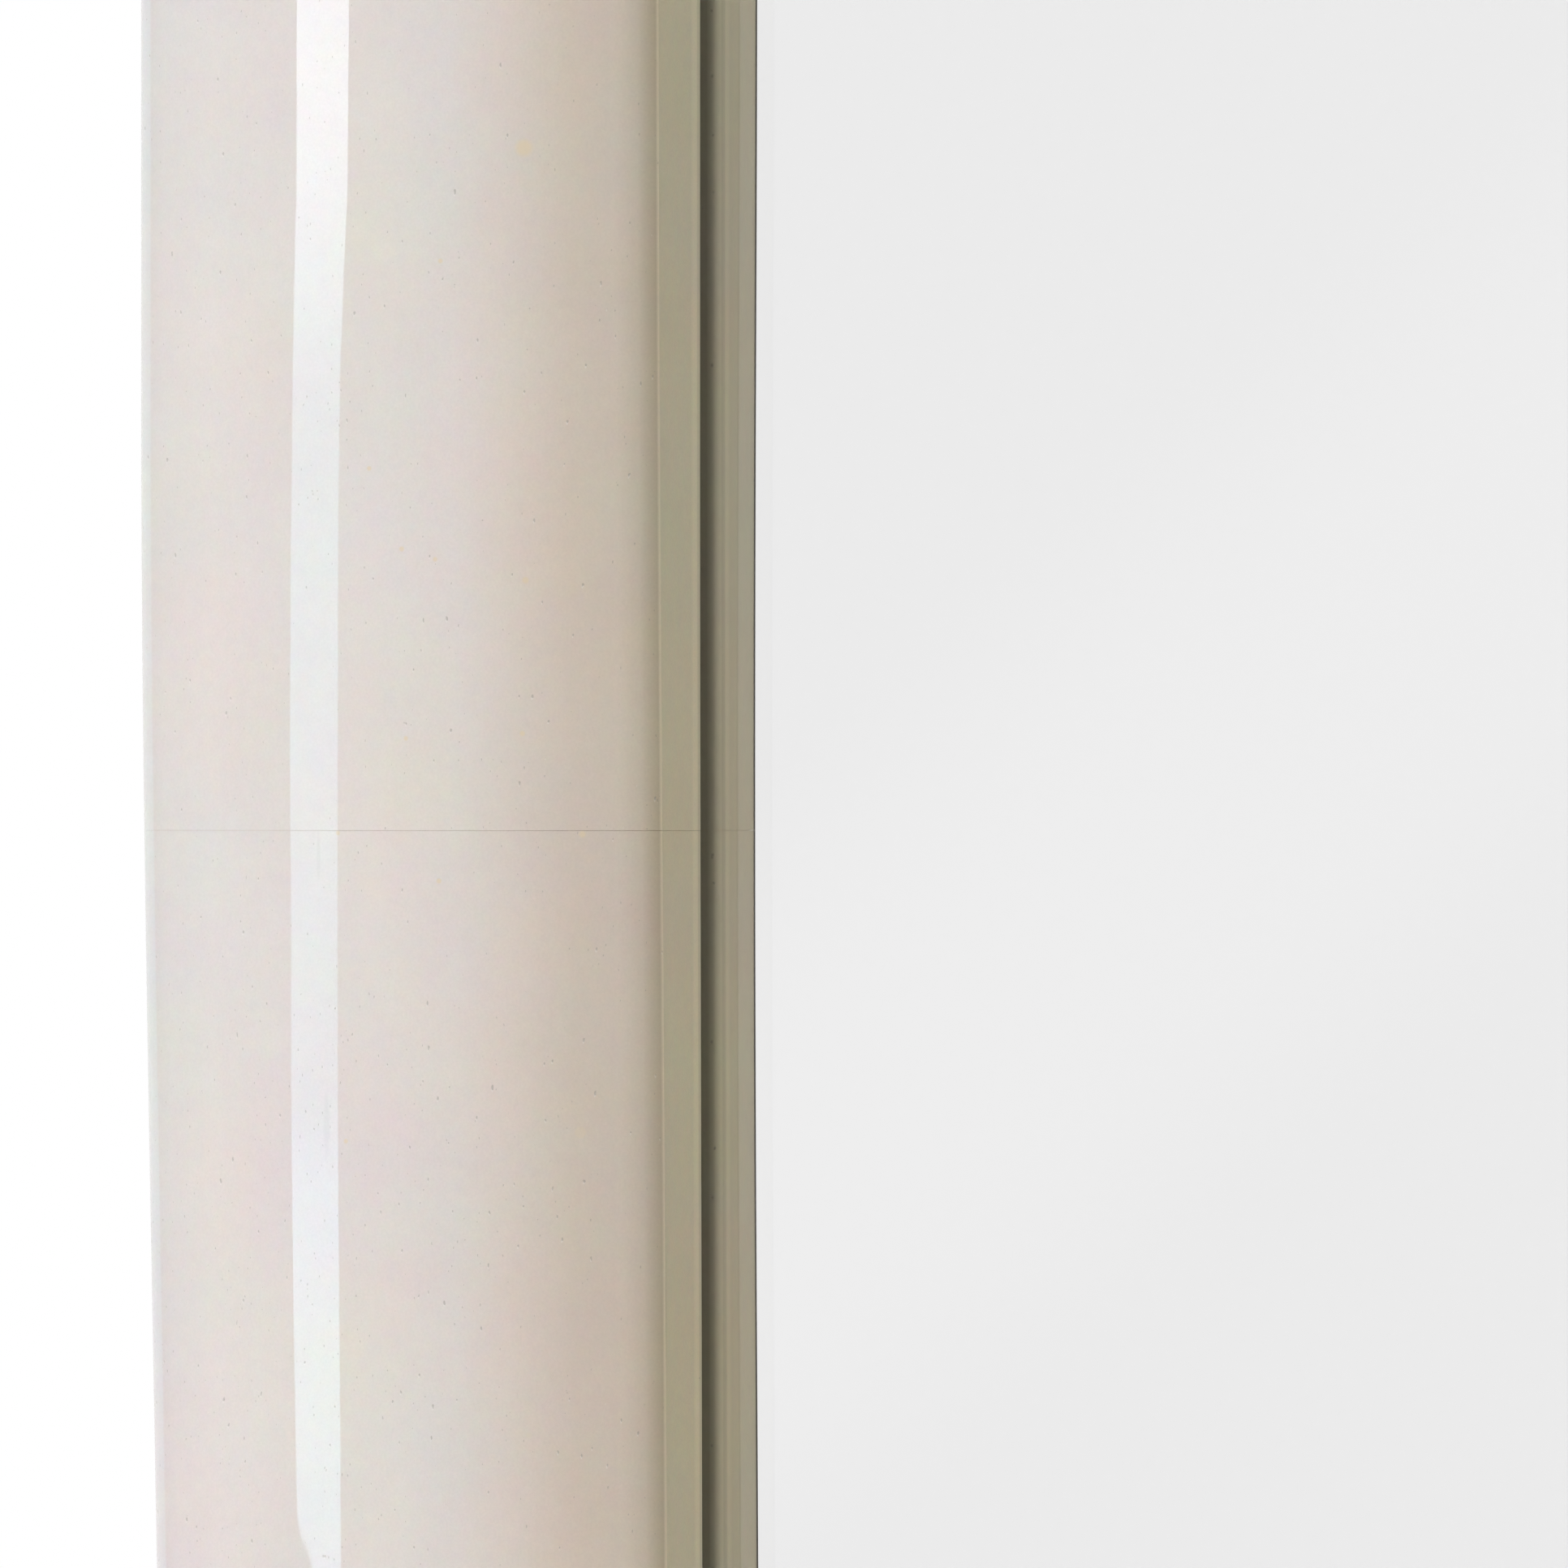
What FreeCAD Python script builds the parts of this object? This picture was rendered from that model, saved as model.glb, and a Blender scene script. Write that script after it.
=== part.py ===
import FreeCAD, Part
import math
import os

# Full length wall mirror: a convex lacquered frame of four mitred members round a 5 mm pane.
# Millimetres. +Z is up and the front faces -Y. The wall is the plane Y = 0, and the origin is
# the middle of the wall bar's row of screw holes, on the wall.
# A frame member is drawn along its own axes: x along it, u inward from its outer face and v
# forward from its back face. The sides then turn it into place.

V = FreeCAD.Vector
mm = 1.0

# Whole frame
overall_height = 1780.0 * mm
overall_width = 680.0 * mm
wall_gap = 2.0 * mm             # back of the frame to the wall
overrun = 5.0 * mm              # how far a cutting shape runs past the face that it cuts

# Section of a member
member_width = 85.0 * mm        # outer face to the inner arris
member_depth = 47.0 * mm        # back face to the crest
outer_round_r = 3.0 * mm
corner_round_r = 3.0 * mm       # upright edges at the frame's four corners
outer_crown_r = 165.0 * mm
inner_crown_r = 125.0 * mm
roll_r = 12.0 * mm              # the crown's tighter turn towards the arris
arris_r = 0.4 * mm
roll_start_deg = 20.0
roll_end_deg = 55.0
wall_draft_deg = 1.5
wall_height = 13.7 * mm         # inner arris to the underside of the lip
lip_edge_r = 1.3 * mm
facing_thickness = 1.0 * mm
facing_wrap = 2.0 * mm          # facing turned under the lip
facing_joint_share = 0.5        # butt joint of the facing, as a share of a stile

# Glass, and what lies before and behind it
glass_thickness = 5.0 * mm
glass_edge_chamfer = 0.6 * mm
coat_thickness = 0.3 * mm
felt_thickness = 1.0 * mm
foam_thickness = 3.0 * mm
board_thickness = 4.0 * mm
glass_cover = 7.0 * mm          # how far the lip covers the edge of the glass
glass_room = 2.0 * mm           # between the edge of the glass and the rebate
board_room = 1.0 * mm
felt_inset = 1.2 * mm           # felt kept back from the lip's visible edge
foam_inset = 1.5 * mm
setting_block_length = 50.0 * mm
side_packer_length = 30.0 * mm
setting_block_shares = (0.25, 0.75)
side_packer_shares = (0.2, 0.8)

# Ledge of the turn buttons
ledge_width = 22.0 * mm

# Turn buttons
button_thickness = 1.2 * mm
button_heel_r = 6.0 * mm        # also half its width
button_tip_cut = 2.5 * mm
button_reach = 24.0 * mm        # pivot to tip
button_pivot_back = 10.0 * mm   # rebate to pivot, over the ledge
button_fit = 0.05 * mm          # radial clearance on the screw
stile_button_shares = (0.15, 0.5, 0.85)
rail_button_shares = (0.5,)

# Flat headed wood screws: of the turn buttons, the corner plates and the cleat
pivot_shank_r = 1.9 * mm
pivot_head_r = 3.6 * mm
pivot_head_height = 2.0 * mm
pivot_screw_length = 14.0 * mm
plate_shank_r = 1.75 * mm
plate_head_r = 3.4 * mm
plate_head_height = 1.6 * mm
plate_screw_length = 16.0 * mm
cleat_shank_r = 2.2 * mm
cleat_head_r = 4.2 * mm
cleat_head_height = 2.0 * mm
cleat_screw_length = 26.0 * mm
hole_fit = 0.1 * mm             # radial clearance of a fixed screw in its metal

# Corner plates, let in so deep that their screws stay under the back face
plate_thickness = 1.5 * mm
plate_sink = 0.3 * mm           # back face to the screw heads
plate_arm_width = 16.0 * mm
plate_arm_length = 62.0 * mm
plate_offset = 18.0 * mm        # outer face to the plate
plate_end_cut = 3.0 * mm        # cut corners at the ends of the arms
plate_hole_end = 14.0 * mm

# Mitre splines
spline_thickness = 4.0 * mm
spline_across = 44.0 * mm
spline_along = 60.0 * mm
spline_middle = 42.0 * mm       # outer faces to the middle of the spline
spline_level = 25.0 * mm        # back face to the spline

# Hanging cleat and wall bar
bar_thickness = 2.0 * mm
bar_gap = 0.3 * mm              # between the two bars, and to the wall
bar_to_plate = 60.0 * mm        # end of a bar to the corner plate beside it
bar_edge_cut = 0.4 * mm
hook_height = 12.0 * mm
hook_slack = 0.5 * mm           # the cleat's hook stops short of the wall bar's web
wall_plate_below = 9.0 * mm     # hole line to the wall bar's lower edge
wall_plate_above = 10.0 * mm    # hole line to the wall bar's web
cleat_plate_height = 16.0 * mm
cleat_above = 12.0 * mm         # cleat's upper edge to the top of the frame
recess_end_room = 3.0 * mm
recess_top_room = 1.0 * mm
wall_hole_r = 2.6 * mm
wall_hole_shares = (-0.425, -0.15, 0.15, 0.425)     # along the wall bar, from its middle
cleat_screw_shares = (-0.375, 0.375)                # along the cleat, from its middle

# Wall buffers
buffer_size = 22.0 * mm
buffer_cut = 2.5 * mm           # cut corners
buffer_up = 140.0 * mm          # bottom of the frame to a buffer

# Worked out from the sizes above
roll_start = math.radians(roll_start_deg)
roll_end = math.radians(roll_end_deg)
draft = math.radians(wall_draft_deg)
crest_u = (member_width - (inner_crown_r - roll_r) * math.sin(roll_start)
           - roll_r * math.sin(roll_end))
roll_u = crest_u + (inner_crown_r - roll_r) * math.sin(roll_start)
roll_v = member_depth - inner_crown_r + (inner_crown_r - roll_r) * math.cos(roll_start)
arris_u = roll_u + roll_r * math.sin(roll_end)
arris_v = roll_v + roll_r * math.cos(roll_end)
lip_v = arris_v - wall_height
glass_front_v = lip_v - felt_thickness
glass_back_v = glass_front_v - glass_thickness
coat_back_v = glass_back_v - coat_thickness
foam_back_v = coat_back_v - foam_thickness
ledge_v = foam_back_v - board_thickness     # back of the board, flush with the ledge
glass_edge_u = member_width - glass_cover
rebate_u = glass_edge_u - glass_room
ledge_u = rebate_u - ledge_width
button_u = rebate_u - button_pivot_back
plate_pocket = plate_sink + plate_head_height + plate_thickness

bar_depth = 2 * bar_thickness + 3 * bar_gap  # wall to the cleat's seat
recess_v = bar_depth - wall_gap
bar_length = overall_width - 2 * (plate_offset + plate_arm_length + bar_to_plate)
hook_y = -(2 * bar_thickness + 2 * bar_gap)  # front of the wall bar's hook
wall_web_z = wall_plate_above + bar_thickness
cleat_web_z = wall_web_z + hook_height
cleat_top_z = cleat_web_z + bar_thickness + cleat_plate_height
frame_top_z = cleat_top_z + cleat_above
frame_bottom_z = frame_top_z - overall_height
half_width = overall_width / 2

# Each side: its name, the way along it, the way inward, its starting corner and its length
BOTTOM, RIGHT, TOP, LEFT = range(4)
side_names = ("bottom_rail", "right_stile", "top_rail", "left_stile")
corner_names = ("bottom_left", "bottom_right", "top_right", "top_left")
along = (V(1, 0, 0), V(0, 0, 1), V(-1, 0, 0), V(0, 0, -1))
inward = (V(0, 0, 1), V(-1, 0, 0), V(0, 0, -1), V(1, 0, 0))
corners = (V(-half_width, -wall_gap, frame_bottom_z), V(half_width, -wall_gap, frame_bottom_z),
           V(half_width, -wall_gap, frame_top_z), V(-half_width, -wall_gap, frame_top_z))
lengths = (overall_width, overall_height, overall_width, overall_height)


def placed(shape, side):
    """The shape turned from a member's own axes to one side of the frame."""
    turn = FreeCAD.Rotation(along[side], inward[side], V(0, -1, 0), "XYZ")
    moved = shape.copy()
    moved.Placement = FreeCAD.Placement(corners[side], turn).multiply(shape.Placement)
    return moved


def block(x0, u0, v0, x1, u1, v1):
    """A box between two corners."""
    return Part.makeBox(x1 - x0, u1 - u0, v1 - v0, V(x0, u0, v0))


def prism(points, v0, v1):
    """A flat outline in x and u, between two levels of v."""
    ring = [V(x, u, v0) for x, u in points]
    return Part.Face(Part.makePolygon(ring + ring[:1])).extrude(V(0, 0, v1 - v0))


def line(p, q):
    return Part.LineSegment(V(0, *p), V(0, *q)).toShape()


def on_circle(centre, radius, angle):
    """The point of a section circle at an angle from straight forward, towards the glass."""
    return centre[0] + radius * math.sin(angle), centre[1] + radius * math.cos(angle)


def arc(centre, radius, start, end):
    points = [on_circle(centre, radius, a) for a in (start, (start + end) / 2, end)]
    return Part.Arc(*[V(0, *p) for p in points]).toShape()


def arris_angle(inset):
    """Where the roll, set in by this much, meets the inner wall set in as much."""
    across = roll_r * math.sin(roll_end + draft) - inset
    return math.asin(across / (roll_r - inset)) - draft


def lip_edge_centre():
    """Centre of the rounded lower edge of the inner wall."""
    v = lip_v + lip_edge_r
    u = arris_u + ((arris_v - v) * math.sin(draft) - lip_edge_r) / math.cos(draft)
    return u, v


def front_edges(inset):
    """The front of the section, from the back of the outer face to under the lip, set in."""
    crest = (crest_u, member_depth)
    outer_centre = (crest[0], crest[1] - outer_crown_r)
    inner_centre = (crest[0], crest[1] - inner_crown_r)
    reach = outer_crown_r - outer_round_r
    lean = math.asin((crest_u - outer_round_r) / reach)
    round_centre = (outer_round_r, outer_centre[1] + reach * math.cos(lean))
    roll_centre = (roll_u, roll_v)
    edge_centre = lip_edge_centre()
    wall_low = on_circle(edge_centre, lip_edge_r - inset, math.pi / 2 - draft)
    edges = [
        line((inset, 0), (inset, round_centre[1])),
        arc(round_centre, outer_round_r - inset, -math.pi / 2, -lean),
        arc(outer_centre, outer_crown_r - inset, -lean, 0),
        arc(inner_centre, inner_crown_r - inset, 0, roll_start),
    ]
    if inset < arris_r:
        turn = arris_angle(arris_r)
        tip = on_circle(roll_centre, roll_r - arris_r, turn)
        edges.append(arc(roll_centre, roll_r - inset, roll_start, turn))
        edges.append(arc(tip, arris_r - inset, turn, math.pi / 2 - draft))
        wall_high = on_circle(tip, arris_r - inset, math.pi / 2 - draft)
    else:
        turn = arris_angle(inset)
        edges.append(arc(roll_centre, roll_r - inset, roll_start, turn))
        wall_high = on_circle(roll_centre, roll_r - inset, turn)
    under = (edge_centre[0] - facing_wrap, lip_v + inset)
    edges += [
        line(wall_high, wall_low),
        arc(edge_centre, lip_edge_r - inset, math.pi / 2 - draft, math.pi),
        line((edge_centre[0], lip_v + inset), under),
    ]
    return edges, under


def mitred(edges, side):
    """A closed section run along one side and cut at 45 degrees at both ends."""
    length, r = lengths[side], corner_round_r
    run = Part.Face(Part.Wire(edges)).extrude(V(length, 0, 0))
    reach = member_width + overrun
    ends = ((0, 0), (length, 0), (length - reach, reach), (reach, reach))
    low, high = -overrun, member_depth + overrun
    for x0, x1, middle in ((-overrun, r, r), (length - r, length + overrun, length - r)):
        pole = Part.makeCylinder(r, high - low, V(middle, r, low))
        run = run.cut(block(x0, -overrun, low, x1, r, high).cut(pole))
    return run.common(prism(ends, low, high))


def facing(side):
    """The lacquered skin over the front, the outer face and the inner wall of one side."""
    outside, under = front_edges(0)
    inside, inner_under = front_edges(facing_thickness)
    edges = outside + [line(under, inner_under)] + inside
    edges.append(line((facing_thickness, 0), (0, 0)))
    return mitred(Part.__sortEdges__(edges), side)


def facing_half(side, end):
    """The part of a stile's facing before (0) or after (1) its butt joint."""
    joint = lengths[side] * facing_joint_share
    spans = ((-overrun, joint), (joint, lengths[side] + overrun))
    low, high = spans[end]
    reach = member_width + overrun
    keep = block(low, -overrun, -overrun, high, reach, member_depth + overrun)
    return facing(side).common(keep)


def core_blank(side):
    """The timber of one side, with its rebate and the ledge for the turn buttons."""
    inside, inner_under = front_edges(facing_thickness)
    corners_back = [inner_under, (inner_under[0], lip_v), (rebate_u, lip_v),
                    (rebate_u, ledge_v), (ledge_u, ledge_v), (ledge_u, 0), (facing_thickness, 0)]
    edges = inside + [line(p, q) for p, q in zip(corners_back, corners_back[1:])]
    return mitred(Part.__sortEdges__(edges), side)


def spline():
    """The feather glued across a mitre, at the corner where a side starts."""
    plate = block(-spline_along / 2, -spline_across / 2, spline_level,
                  spline_along / 2, spline_across / 2, spline_level + spline_thickness)
    plate.rotate(V(0, 0, 0), V(0, 0, 1), math.degrees(math.pi / 4))
    plate.translate(V(spline_middle, spline_middle, 0))
    return plate


def plate_outline():
    """The outline of a corner plate in x and u, at the corner where a side starts."""
    low, high = plate_offset, plate_offset + plate_arm_width
    end, cut = plate_offset + plate_arm_length, plate_end_cut
    arm = [(end - cut, low), (end, low + cut), (end, high - cut), (end - cut, high)]
    return [(low, low)] + arm + [(high, high)] + [(u, x) for x, u in arm[::-1]]


def plate_places():
    """The places of a corner plate's screws, in x and u."""
    middle = plate_offset + plate_arm_width / 2
    far = plate_offset + plate_arm_length - plate_hole_end
    return [(far, middle), (middle, far)]


def corner_plate():
    """A flat steel plate at the bottom of its pocket."""
    plate = prism(plate_outline(), plate_pocket - plate_thickness, plate_pocket)
    holes = [Part.makeCylinder(plate_shank_r + hole_fit, 2 * overrun, V(x, u, -overrun))
             for x, u in plate_places()]
    return plate.cut(holes)


def corner_cutter():
    """What the two timbers lose at a corner: the spline's slot and the plate's pocket."""
    return [spline(), prism(plate_outline(), -overrun, plate_pocket)]


def screw(shank_r, head_r, head_height, length):
    """A flat headed screw: its head stands behind level 0 and its shank runs forward."""
    ring = [V(r, 0, v) for r, v in ((0, -head_height), (head_r, -head_height), (head_r, 0),
                                    (shank_r, 0), (shank_r, length), (0, length))]
    face = Part.Face(Part.makePolygon(ring + ring[:1]))
    return face.revolve(V(0, 0, 0), V(0, 0, 1), 360)


def shifted(shape, x, u, v=0.0):
    moved = shape.copy()
    moved.translate(V(x, u, v))
    return moved


def button_shares(side):
    return stile_button_shares if side in (LEFT, RIGHT) else rail_button_shares


def button_places(side):
    """The turn buttons' pivots along one side, in x and u."""
    return [(lengths[side] * share, button_u) for share in button_shares(side)]


def turn_button():
    """A flat steel strip, round behind its pivot and clipped at its tip. It points inward."""
    r, cut = button_heel_r, button_tip_cut
    ring = [V(r, 0, 0), V(r, button_reach - cut, 0), V(r - cut, button_reach, 0)]
    ring += [V(-p.x, p.y, 0) for p in ring[::-1]]
    heel = Part.Arc(ring[-1], V(0, -r, 0), ring[0]).toShape()
    sides = [Part.LineSegment(p, q).toShape() for p, q in zip(ring, ring[1:])]
    plate = Part.Face(Part.Wire(sides + [heel])).extrude(V(0, 0, -button_thickness))
    hole = Part.makeCylinder(pivot_shank_r + button_fit, 2 * overrun, V(0, 0, -overrun))
    return plate.cut(hole)


def z_bar(levels, heights):
    """An aluminium section with a plate, a web and a hook, run along X and centred on it."""
    back, seat, hook_front = levels
    low, web_low, web_high, high = heights
    ring = [(back, low), (seat, low), (seat, web_low), (hook_front, web_low), (hook_front, high),
            (hook_front + bar_thickness, high), (hook_front + bar_thickness, web_high),
            (back, web_high)]
    points = [V(-bar_length / 2, y, z) for y, z in ring]
    bar = Part.Face(Part.makePolygon(points + points[:1])).extrude(V(bar_length, 0, 0))
    long = [e for e in bar.Edges if e.Length > bar_length - overrun]
    return bar.makeChamfer(bar_edge_cut, long)


def wall_bar():
    levels = (0, -bar_thickness, hook_y)
    heights = (-wall_plate_below, wall_plate_above, wall_web_z, cleat_web_z)
    bar = z_bar(levels, heights)
    holes = [Part.makeCylinder(wall_hole_r, 2 * overrun, V(bar_length * share, -overrun, 0),
                               V(0, 1, 0)) for share in wall_hole_shares]
    return bar.cut(holes)


def cleat_screw_places():
    """Screws of the cleat, as X values."""
    return [bar_length * share for share in cleat_screw_shares]


def cleat_screw_z():
    return cleat_web_z + bar_thickness + cleat_plate_height / 2


def frame_cleat():
    """The same section turned over: its hook hangs down behind the wall bar's."""
    levels = (0, -bar_thickness, hook_y)
    heights = (-cleat_plate_height, 0, bar_thickness, bar_thickness + hook_height - hook_slack)
    bar = z_bar(levels, heights)
    bar.rotate(V(0, 0, 0), V(1, 0, 0), 180)
    bar.translate(V(0, -bar_depth, cleat_web_z + bar_thickness))
    holes = [Part.makeCylinder(cleat_shank_r + hole_fit, bar_depth + overrun,
                               V(x, -bar_depth - overrun, cleat_screw_z()), V(0, 1, 0))
             for x in cleat_screw_places()]
    return bar.cut(holes)


def facing_forward(shape, x, y, z):
    """A screw drawn along v, set so that it runs forward into the frame at a place."""
    turn = FreeCAD.Rotation(V(1, 0, 0), V(0, 0, 1), V(0, -1, 0), "XYZ")
    moved = shape.copy()
    moved.Placement = FreeCAD.Placement(V(x, y, z), turn)
    return moved


def cleat_screws():
    body = screw(cleat_shank_r, cleat_head_r, cleat_head_height, cleat_screw_length)
    seat_y = -bar_depth + bar_thickness
    return Part.makeCompound([facing_forward(body, x, seat_y, cleat_screw_z())
                              for x in cleat_screw_places()])


def cleat_seat():
    """The shallow recess in the top rail that the cleat and the wall bar's hook lie in."""
    x = bar_length / 2 + recess_end_room
    top = frame_top_z - cleat_above + recess_top_room
    low = frame_top_z - ledge_u - overrun
    return Part.makeBox(2 * x, recess_v + overrun, top - low, V(-x, -wall_gap - recess_v, low))


def core(side):
    """The finished timber of one side, in place."""
    cutters = [placed(c, end) for end in (side, (side + 1) % 4) for c in corner_cutter()]
    if side == TOP:
        cutters.append(cleat_seat())
    return placed(core_blank(side), side).cut(cutters)


def panel(edge_u, back_v, front_v):
    """A flat rectangle set in from the frame's outer faces, between two levels of v."""
    x = half_width - edge_u
    low, high = frame_bottom_z + edge_u, frame_top_z - edge_u
    return Part.makeBox(2 * x, front_v - back_v, high - low, V(-x, -wall_gap - front_v, low))


def glass():
    pane = panel(glass_edge_u, glass_back_v, glass_front_v)
    front = [e for e in pane.Edges if all(v.Y < -wall_gap - glass_back_v for v in e.Vertexes)]
    return pane.makeChamfer(glass_edge_chamfer, front)


def felt_strip(side):
    """Felt under the lip of one side, butted between its neighbours on the rails."""
    low = rebate_u
    high = lip_edge_centre()[0] - felt_inset
    start = high if side in (LEFT, RIGHT) else low
    return placed(block(start, low, glass_front_v, lengths[side] - start, high, lip_v), side)


def edge_block(side, share, length):
    """A block that fills the room between the glass and the rebate."""
    x = lengths[side] * share
    return placed(block(x - length / 2, rebate_u, glass_back_v,
                        x + length / 2, glass_edge_u, glass_front_v - glass_edge_chamfer), side)


def wall_buffer(x):
    """A soft square pad on the back of a stile that meets the wall."""
    half = buffer_size / 2
    pad = Part.makeBox(buffer_size, wall_gap, buffer_size, V(-half, -wall_gap, -half))
    pad = pad.makeChamfer(buffer_cut, [e for e in pad.Edges if e.Length < half])
    pad.translate(V(x, 0, frame_bottom_z + buffer_up))
    return pad


def all_parts():
    """Every node's name and its shape in place."""
    parts = {}
    for side, name in enumerate(side_names):
        parts[name + "_core"] = core(side)
        parts[name.split("_")[0] + "_felt"] = felt_strip(side)
    for corner, name in enumerate(corner_names):
        parts["mitre_spline_" + name] = placed(spline(), corner)
        parts["corner_plate_" + name] = placed(corner_plate(), corner)
    fixing = screw(plate_shank_r, plate_head_r, plate_head_height, plate_screw_length)
    parts["corner_plate_screws"] = Part.makeCompound(
        [placed(shifted(fixing, x, u, plate_pocket - plate_thickness), corner)
         for corner in range(4) for x, u in plate_places()])
    parts["bottom_facing"] = placed(facing(BOTTOM), BOTTOM)
    parts["top_facing"] = placed(facing(TOP), TOP)
    parts["right_facing_lower"] = placed(facing_half(RIGHT, 0), RIGHT)
    parts["right_facing_upper"] = placed(facing_half(RIGHT, 1), RIGHT)
    parts["left_facing_upper"] = placed(facing_half(LEFT, 0), LEFT)
    parts["left_facing_lower"] = placed(facing_half(LEFT, 1), LEFT)

    parts["mirror_glass"] = glass()
    parts["silver_coat"] = panel(glass_edge_u, coat_back_v, glass_back_v)
    parts["foam_sheet"] = panel(glass_edge_u + foam_inset, foam_back_v, coat_back_v)
    parts["backing_board"] = panel(rebate_u + board_room, ledge_v, foam_back_v)
    for share, name in zip(setting_block_shares, ("left", "right")):
        parts["setting_block_" + name] = edge_block(BOTTOM, share, setting_block_length)
    for share, name in zip(side_packer_shares, ("lower", "upper")):
        parts["side_packer_right_" + name] = edge_block(RIGHT, share, side_packer_length)
    for share, name in zip(side_packer_shares, ("upper", "lower")):
        parts["side_packer_left_" + name] = edge_block(LEFT, share, side_packer_length)

    pivot = screw(pivot_shank_r, pivot_head_r, pivot_head_height, pivot_screw_length)
    screws = []
    level_names = {RIGHT: ("lower", "middle", "upper"), LEFT: ("upper", "middle", "lower")}
    for side, name in enumerate(side_names):
        for n, (x, u) in enumerate(button_places(side)):
            tail = "_" + level_names[side][n] if side in level_names else ""
            parts["turn_button_" + name.split("_")[0] + tail] = placed(
                shifted(turn_button(), x, u, ledge_v), side)
            screws.append(placed(shifted(pivot, x, u, ledge_v - button_thickness), side))
    parts["turn_button_screws"] = Part.makeCompound(screws)

    parts["wall_bar"] = wall_bar()
    parts["frame_cleat"] = frame_cleat()
    parts["frame_cleat_screws"] = cleat_screws()
    parts["wall_buffer_left"] = wall_buffer(-half_width + ledge_u / 2)
    parts["wall_buffer_right"] = wall_buffer(half_width - ledge_u / 2)
    return parts


def main():
    os.makedirs("parts", exist_ok=True)
    for name, shape in all_parts().items():
        box = shape.BoundBox
        print(f"{name:28s} solids {len(shape.Solids):2d} valid {shape.isValid()} "
              f"volume {shape.Volume:12.1f} X {box.XMin:8.2f} {box.XMax:8.2f} "
              f"Y {box.YMin:7.2f} {box.YMax:7.2f} Z {box.ZMin:9.2f} {box.ZMax:9.2f}")
        shape.exportStep(os.path.join("parts", name + ".step"))


main()
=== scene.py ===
import math

import bmesh
import bpy
from mathutils import Matrix, Vector, noise


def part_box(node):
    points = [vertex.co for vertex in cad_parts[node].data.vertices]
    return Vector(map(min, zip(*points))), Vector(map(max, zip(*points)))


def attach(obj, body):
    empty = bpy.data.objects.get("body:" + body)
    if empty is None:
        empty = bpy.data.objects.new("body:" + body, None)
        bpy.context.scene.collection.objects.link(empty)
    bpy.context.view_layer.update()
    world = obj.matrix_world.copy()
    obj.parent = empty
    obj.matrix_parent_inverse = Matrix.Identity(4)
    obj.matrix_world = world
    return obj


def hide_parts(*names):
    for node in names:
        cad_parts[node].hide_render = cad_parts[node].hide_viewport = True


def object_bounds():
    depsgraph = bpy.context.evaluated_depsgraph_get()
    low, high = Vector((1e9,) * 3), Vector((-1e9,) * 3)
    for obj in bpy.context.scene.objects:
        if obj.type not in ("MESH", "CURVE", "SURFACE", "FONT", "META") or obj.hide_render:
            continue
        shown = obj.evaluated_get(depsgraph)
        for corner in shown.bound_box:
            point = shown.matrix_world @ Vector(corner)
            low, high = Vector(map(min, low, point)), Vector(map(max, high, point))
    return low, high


bl_info = {
    "name": "Full Length Mirror",
    "version": (1, 0, 0),
    "blender": (4, 5, 0),
    "location": "3D View > Sidebar > Mirror",
    "description": "A tall wall mirror in a convex lacquered frame, with its back and its stage",
    "category": "Add Mesh",
}

# Every length is in metres. +Z is up and the front faces -Y. A member of the frame is shaped in
# its own axes, along it, inward from its outer face and forward from its back, and then placed.

MM = 0.001
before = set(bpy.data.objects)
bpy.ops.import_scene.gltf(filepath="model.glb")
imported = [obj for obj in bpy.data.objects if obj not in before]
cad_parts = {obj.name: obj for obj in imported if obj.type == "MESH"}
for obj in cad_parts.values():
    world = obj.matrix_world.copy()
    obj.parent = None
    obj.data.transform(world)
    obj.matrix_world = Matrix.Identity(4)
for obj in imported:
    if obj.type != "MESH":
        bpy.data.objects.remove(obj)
cad_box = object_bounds()
FACING_BOXES = [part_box(name) for name in ("bottom_facing", "top_facing", "left_facing_lower",
                                          "right_facing_upper")]
outer_low = Vector([min(low[i] for low, _ in FACING_BOXES) for i in range(3)])
outer_high = Vector([max(high[i] for _, high in FACING_BOXES) for i in range(3)])
back_y = outer_high.y
glass_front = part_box("mirror_glass")[0].y
joint_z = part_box("left_facing_lower")[1].z      # where the two facings of the left stile butt
BOTTOM, RIGHT, TOP, LEFT = range(4)
ALONG = (Vector((1, 0, 0)), Vector((0, 0, 1)), Vector((-1, 0, 0)), Vector((0, 0, -1)))
INWARD = (Vector((0, 0, 1)), Vector((-1, 0, 0)), Vector((0, 0, -1)), Vector((1, 0, 0)))
CORNERS = [Vector((x, back_y, z)) for x, z in (
    (outer_low.x, outer_low.z), (outer_high.x, outer_low.z), (outer_high.x, outer_high.z),
    (outer_low.x, outer_high.z))]
LENGTHS = (outer_high.x - outer_low.x, outer_high.z - outer_low.z) * 2
SIDE_NAMES = ("bottom", "right", "top", "left")
CORNER_NAMES = ("bottom_left", "bottom_right", "top_right", "top_left")
BUTTONS = ("bottom", "right_lower", "right_middle", "right_upper", "top", "left_upper",
           "left_middle", "left_lower")
BLOCKS = ("setting_block_left", "setting_block_right", "side_packer_left_lower",
          "side_packer_left_upper", "side_packer_right_lower", "side_packer_right_upper")

# Marks of the hand finish, as places along a member from its first corner
END_FADE = (0.13, 0.3)          # every mark fades out towards the corners
DRIFT_RISES, DRIFT_FALLS = (0.824, 1.104), (1.17, 1.45)     # the left outer edge wanders inward
SINK_RISES, SINK_FALLS = (0.74, 0.95), (1.15, 1.45)         # the left arris is rubbed down

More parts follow.
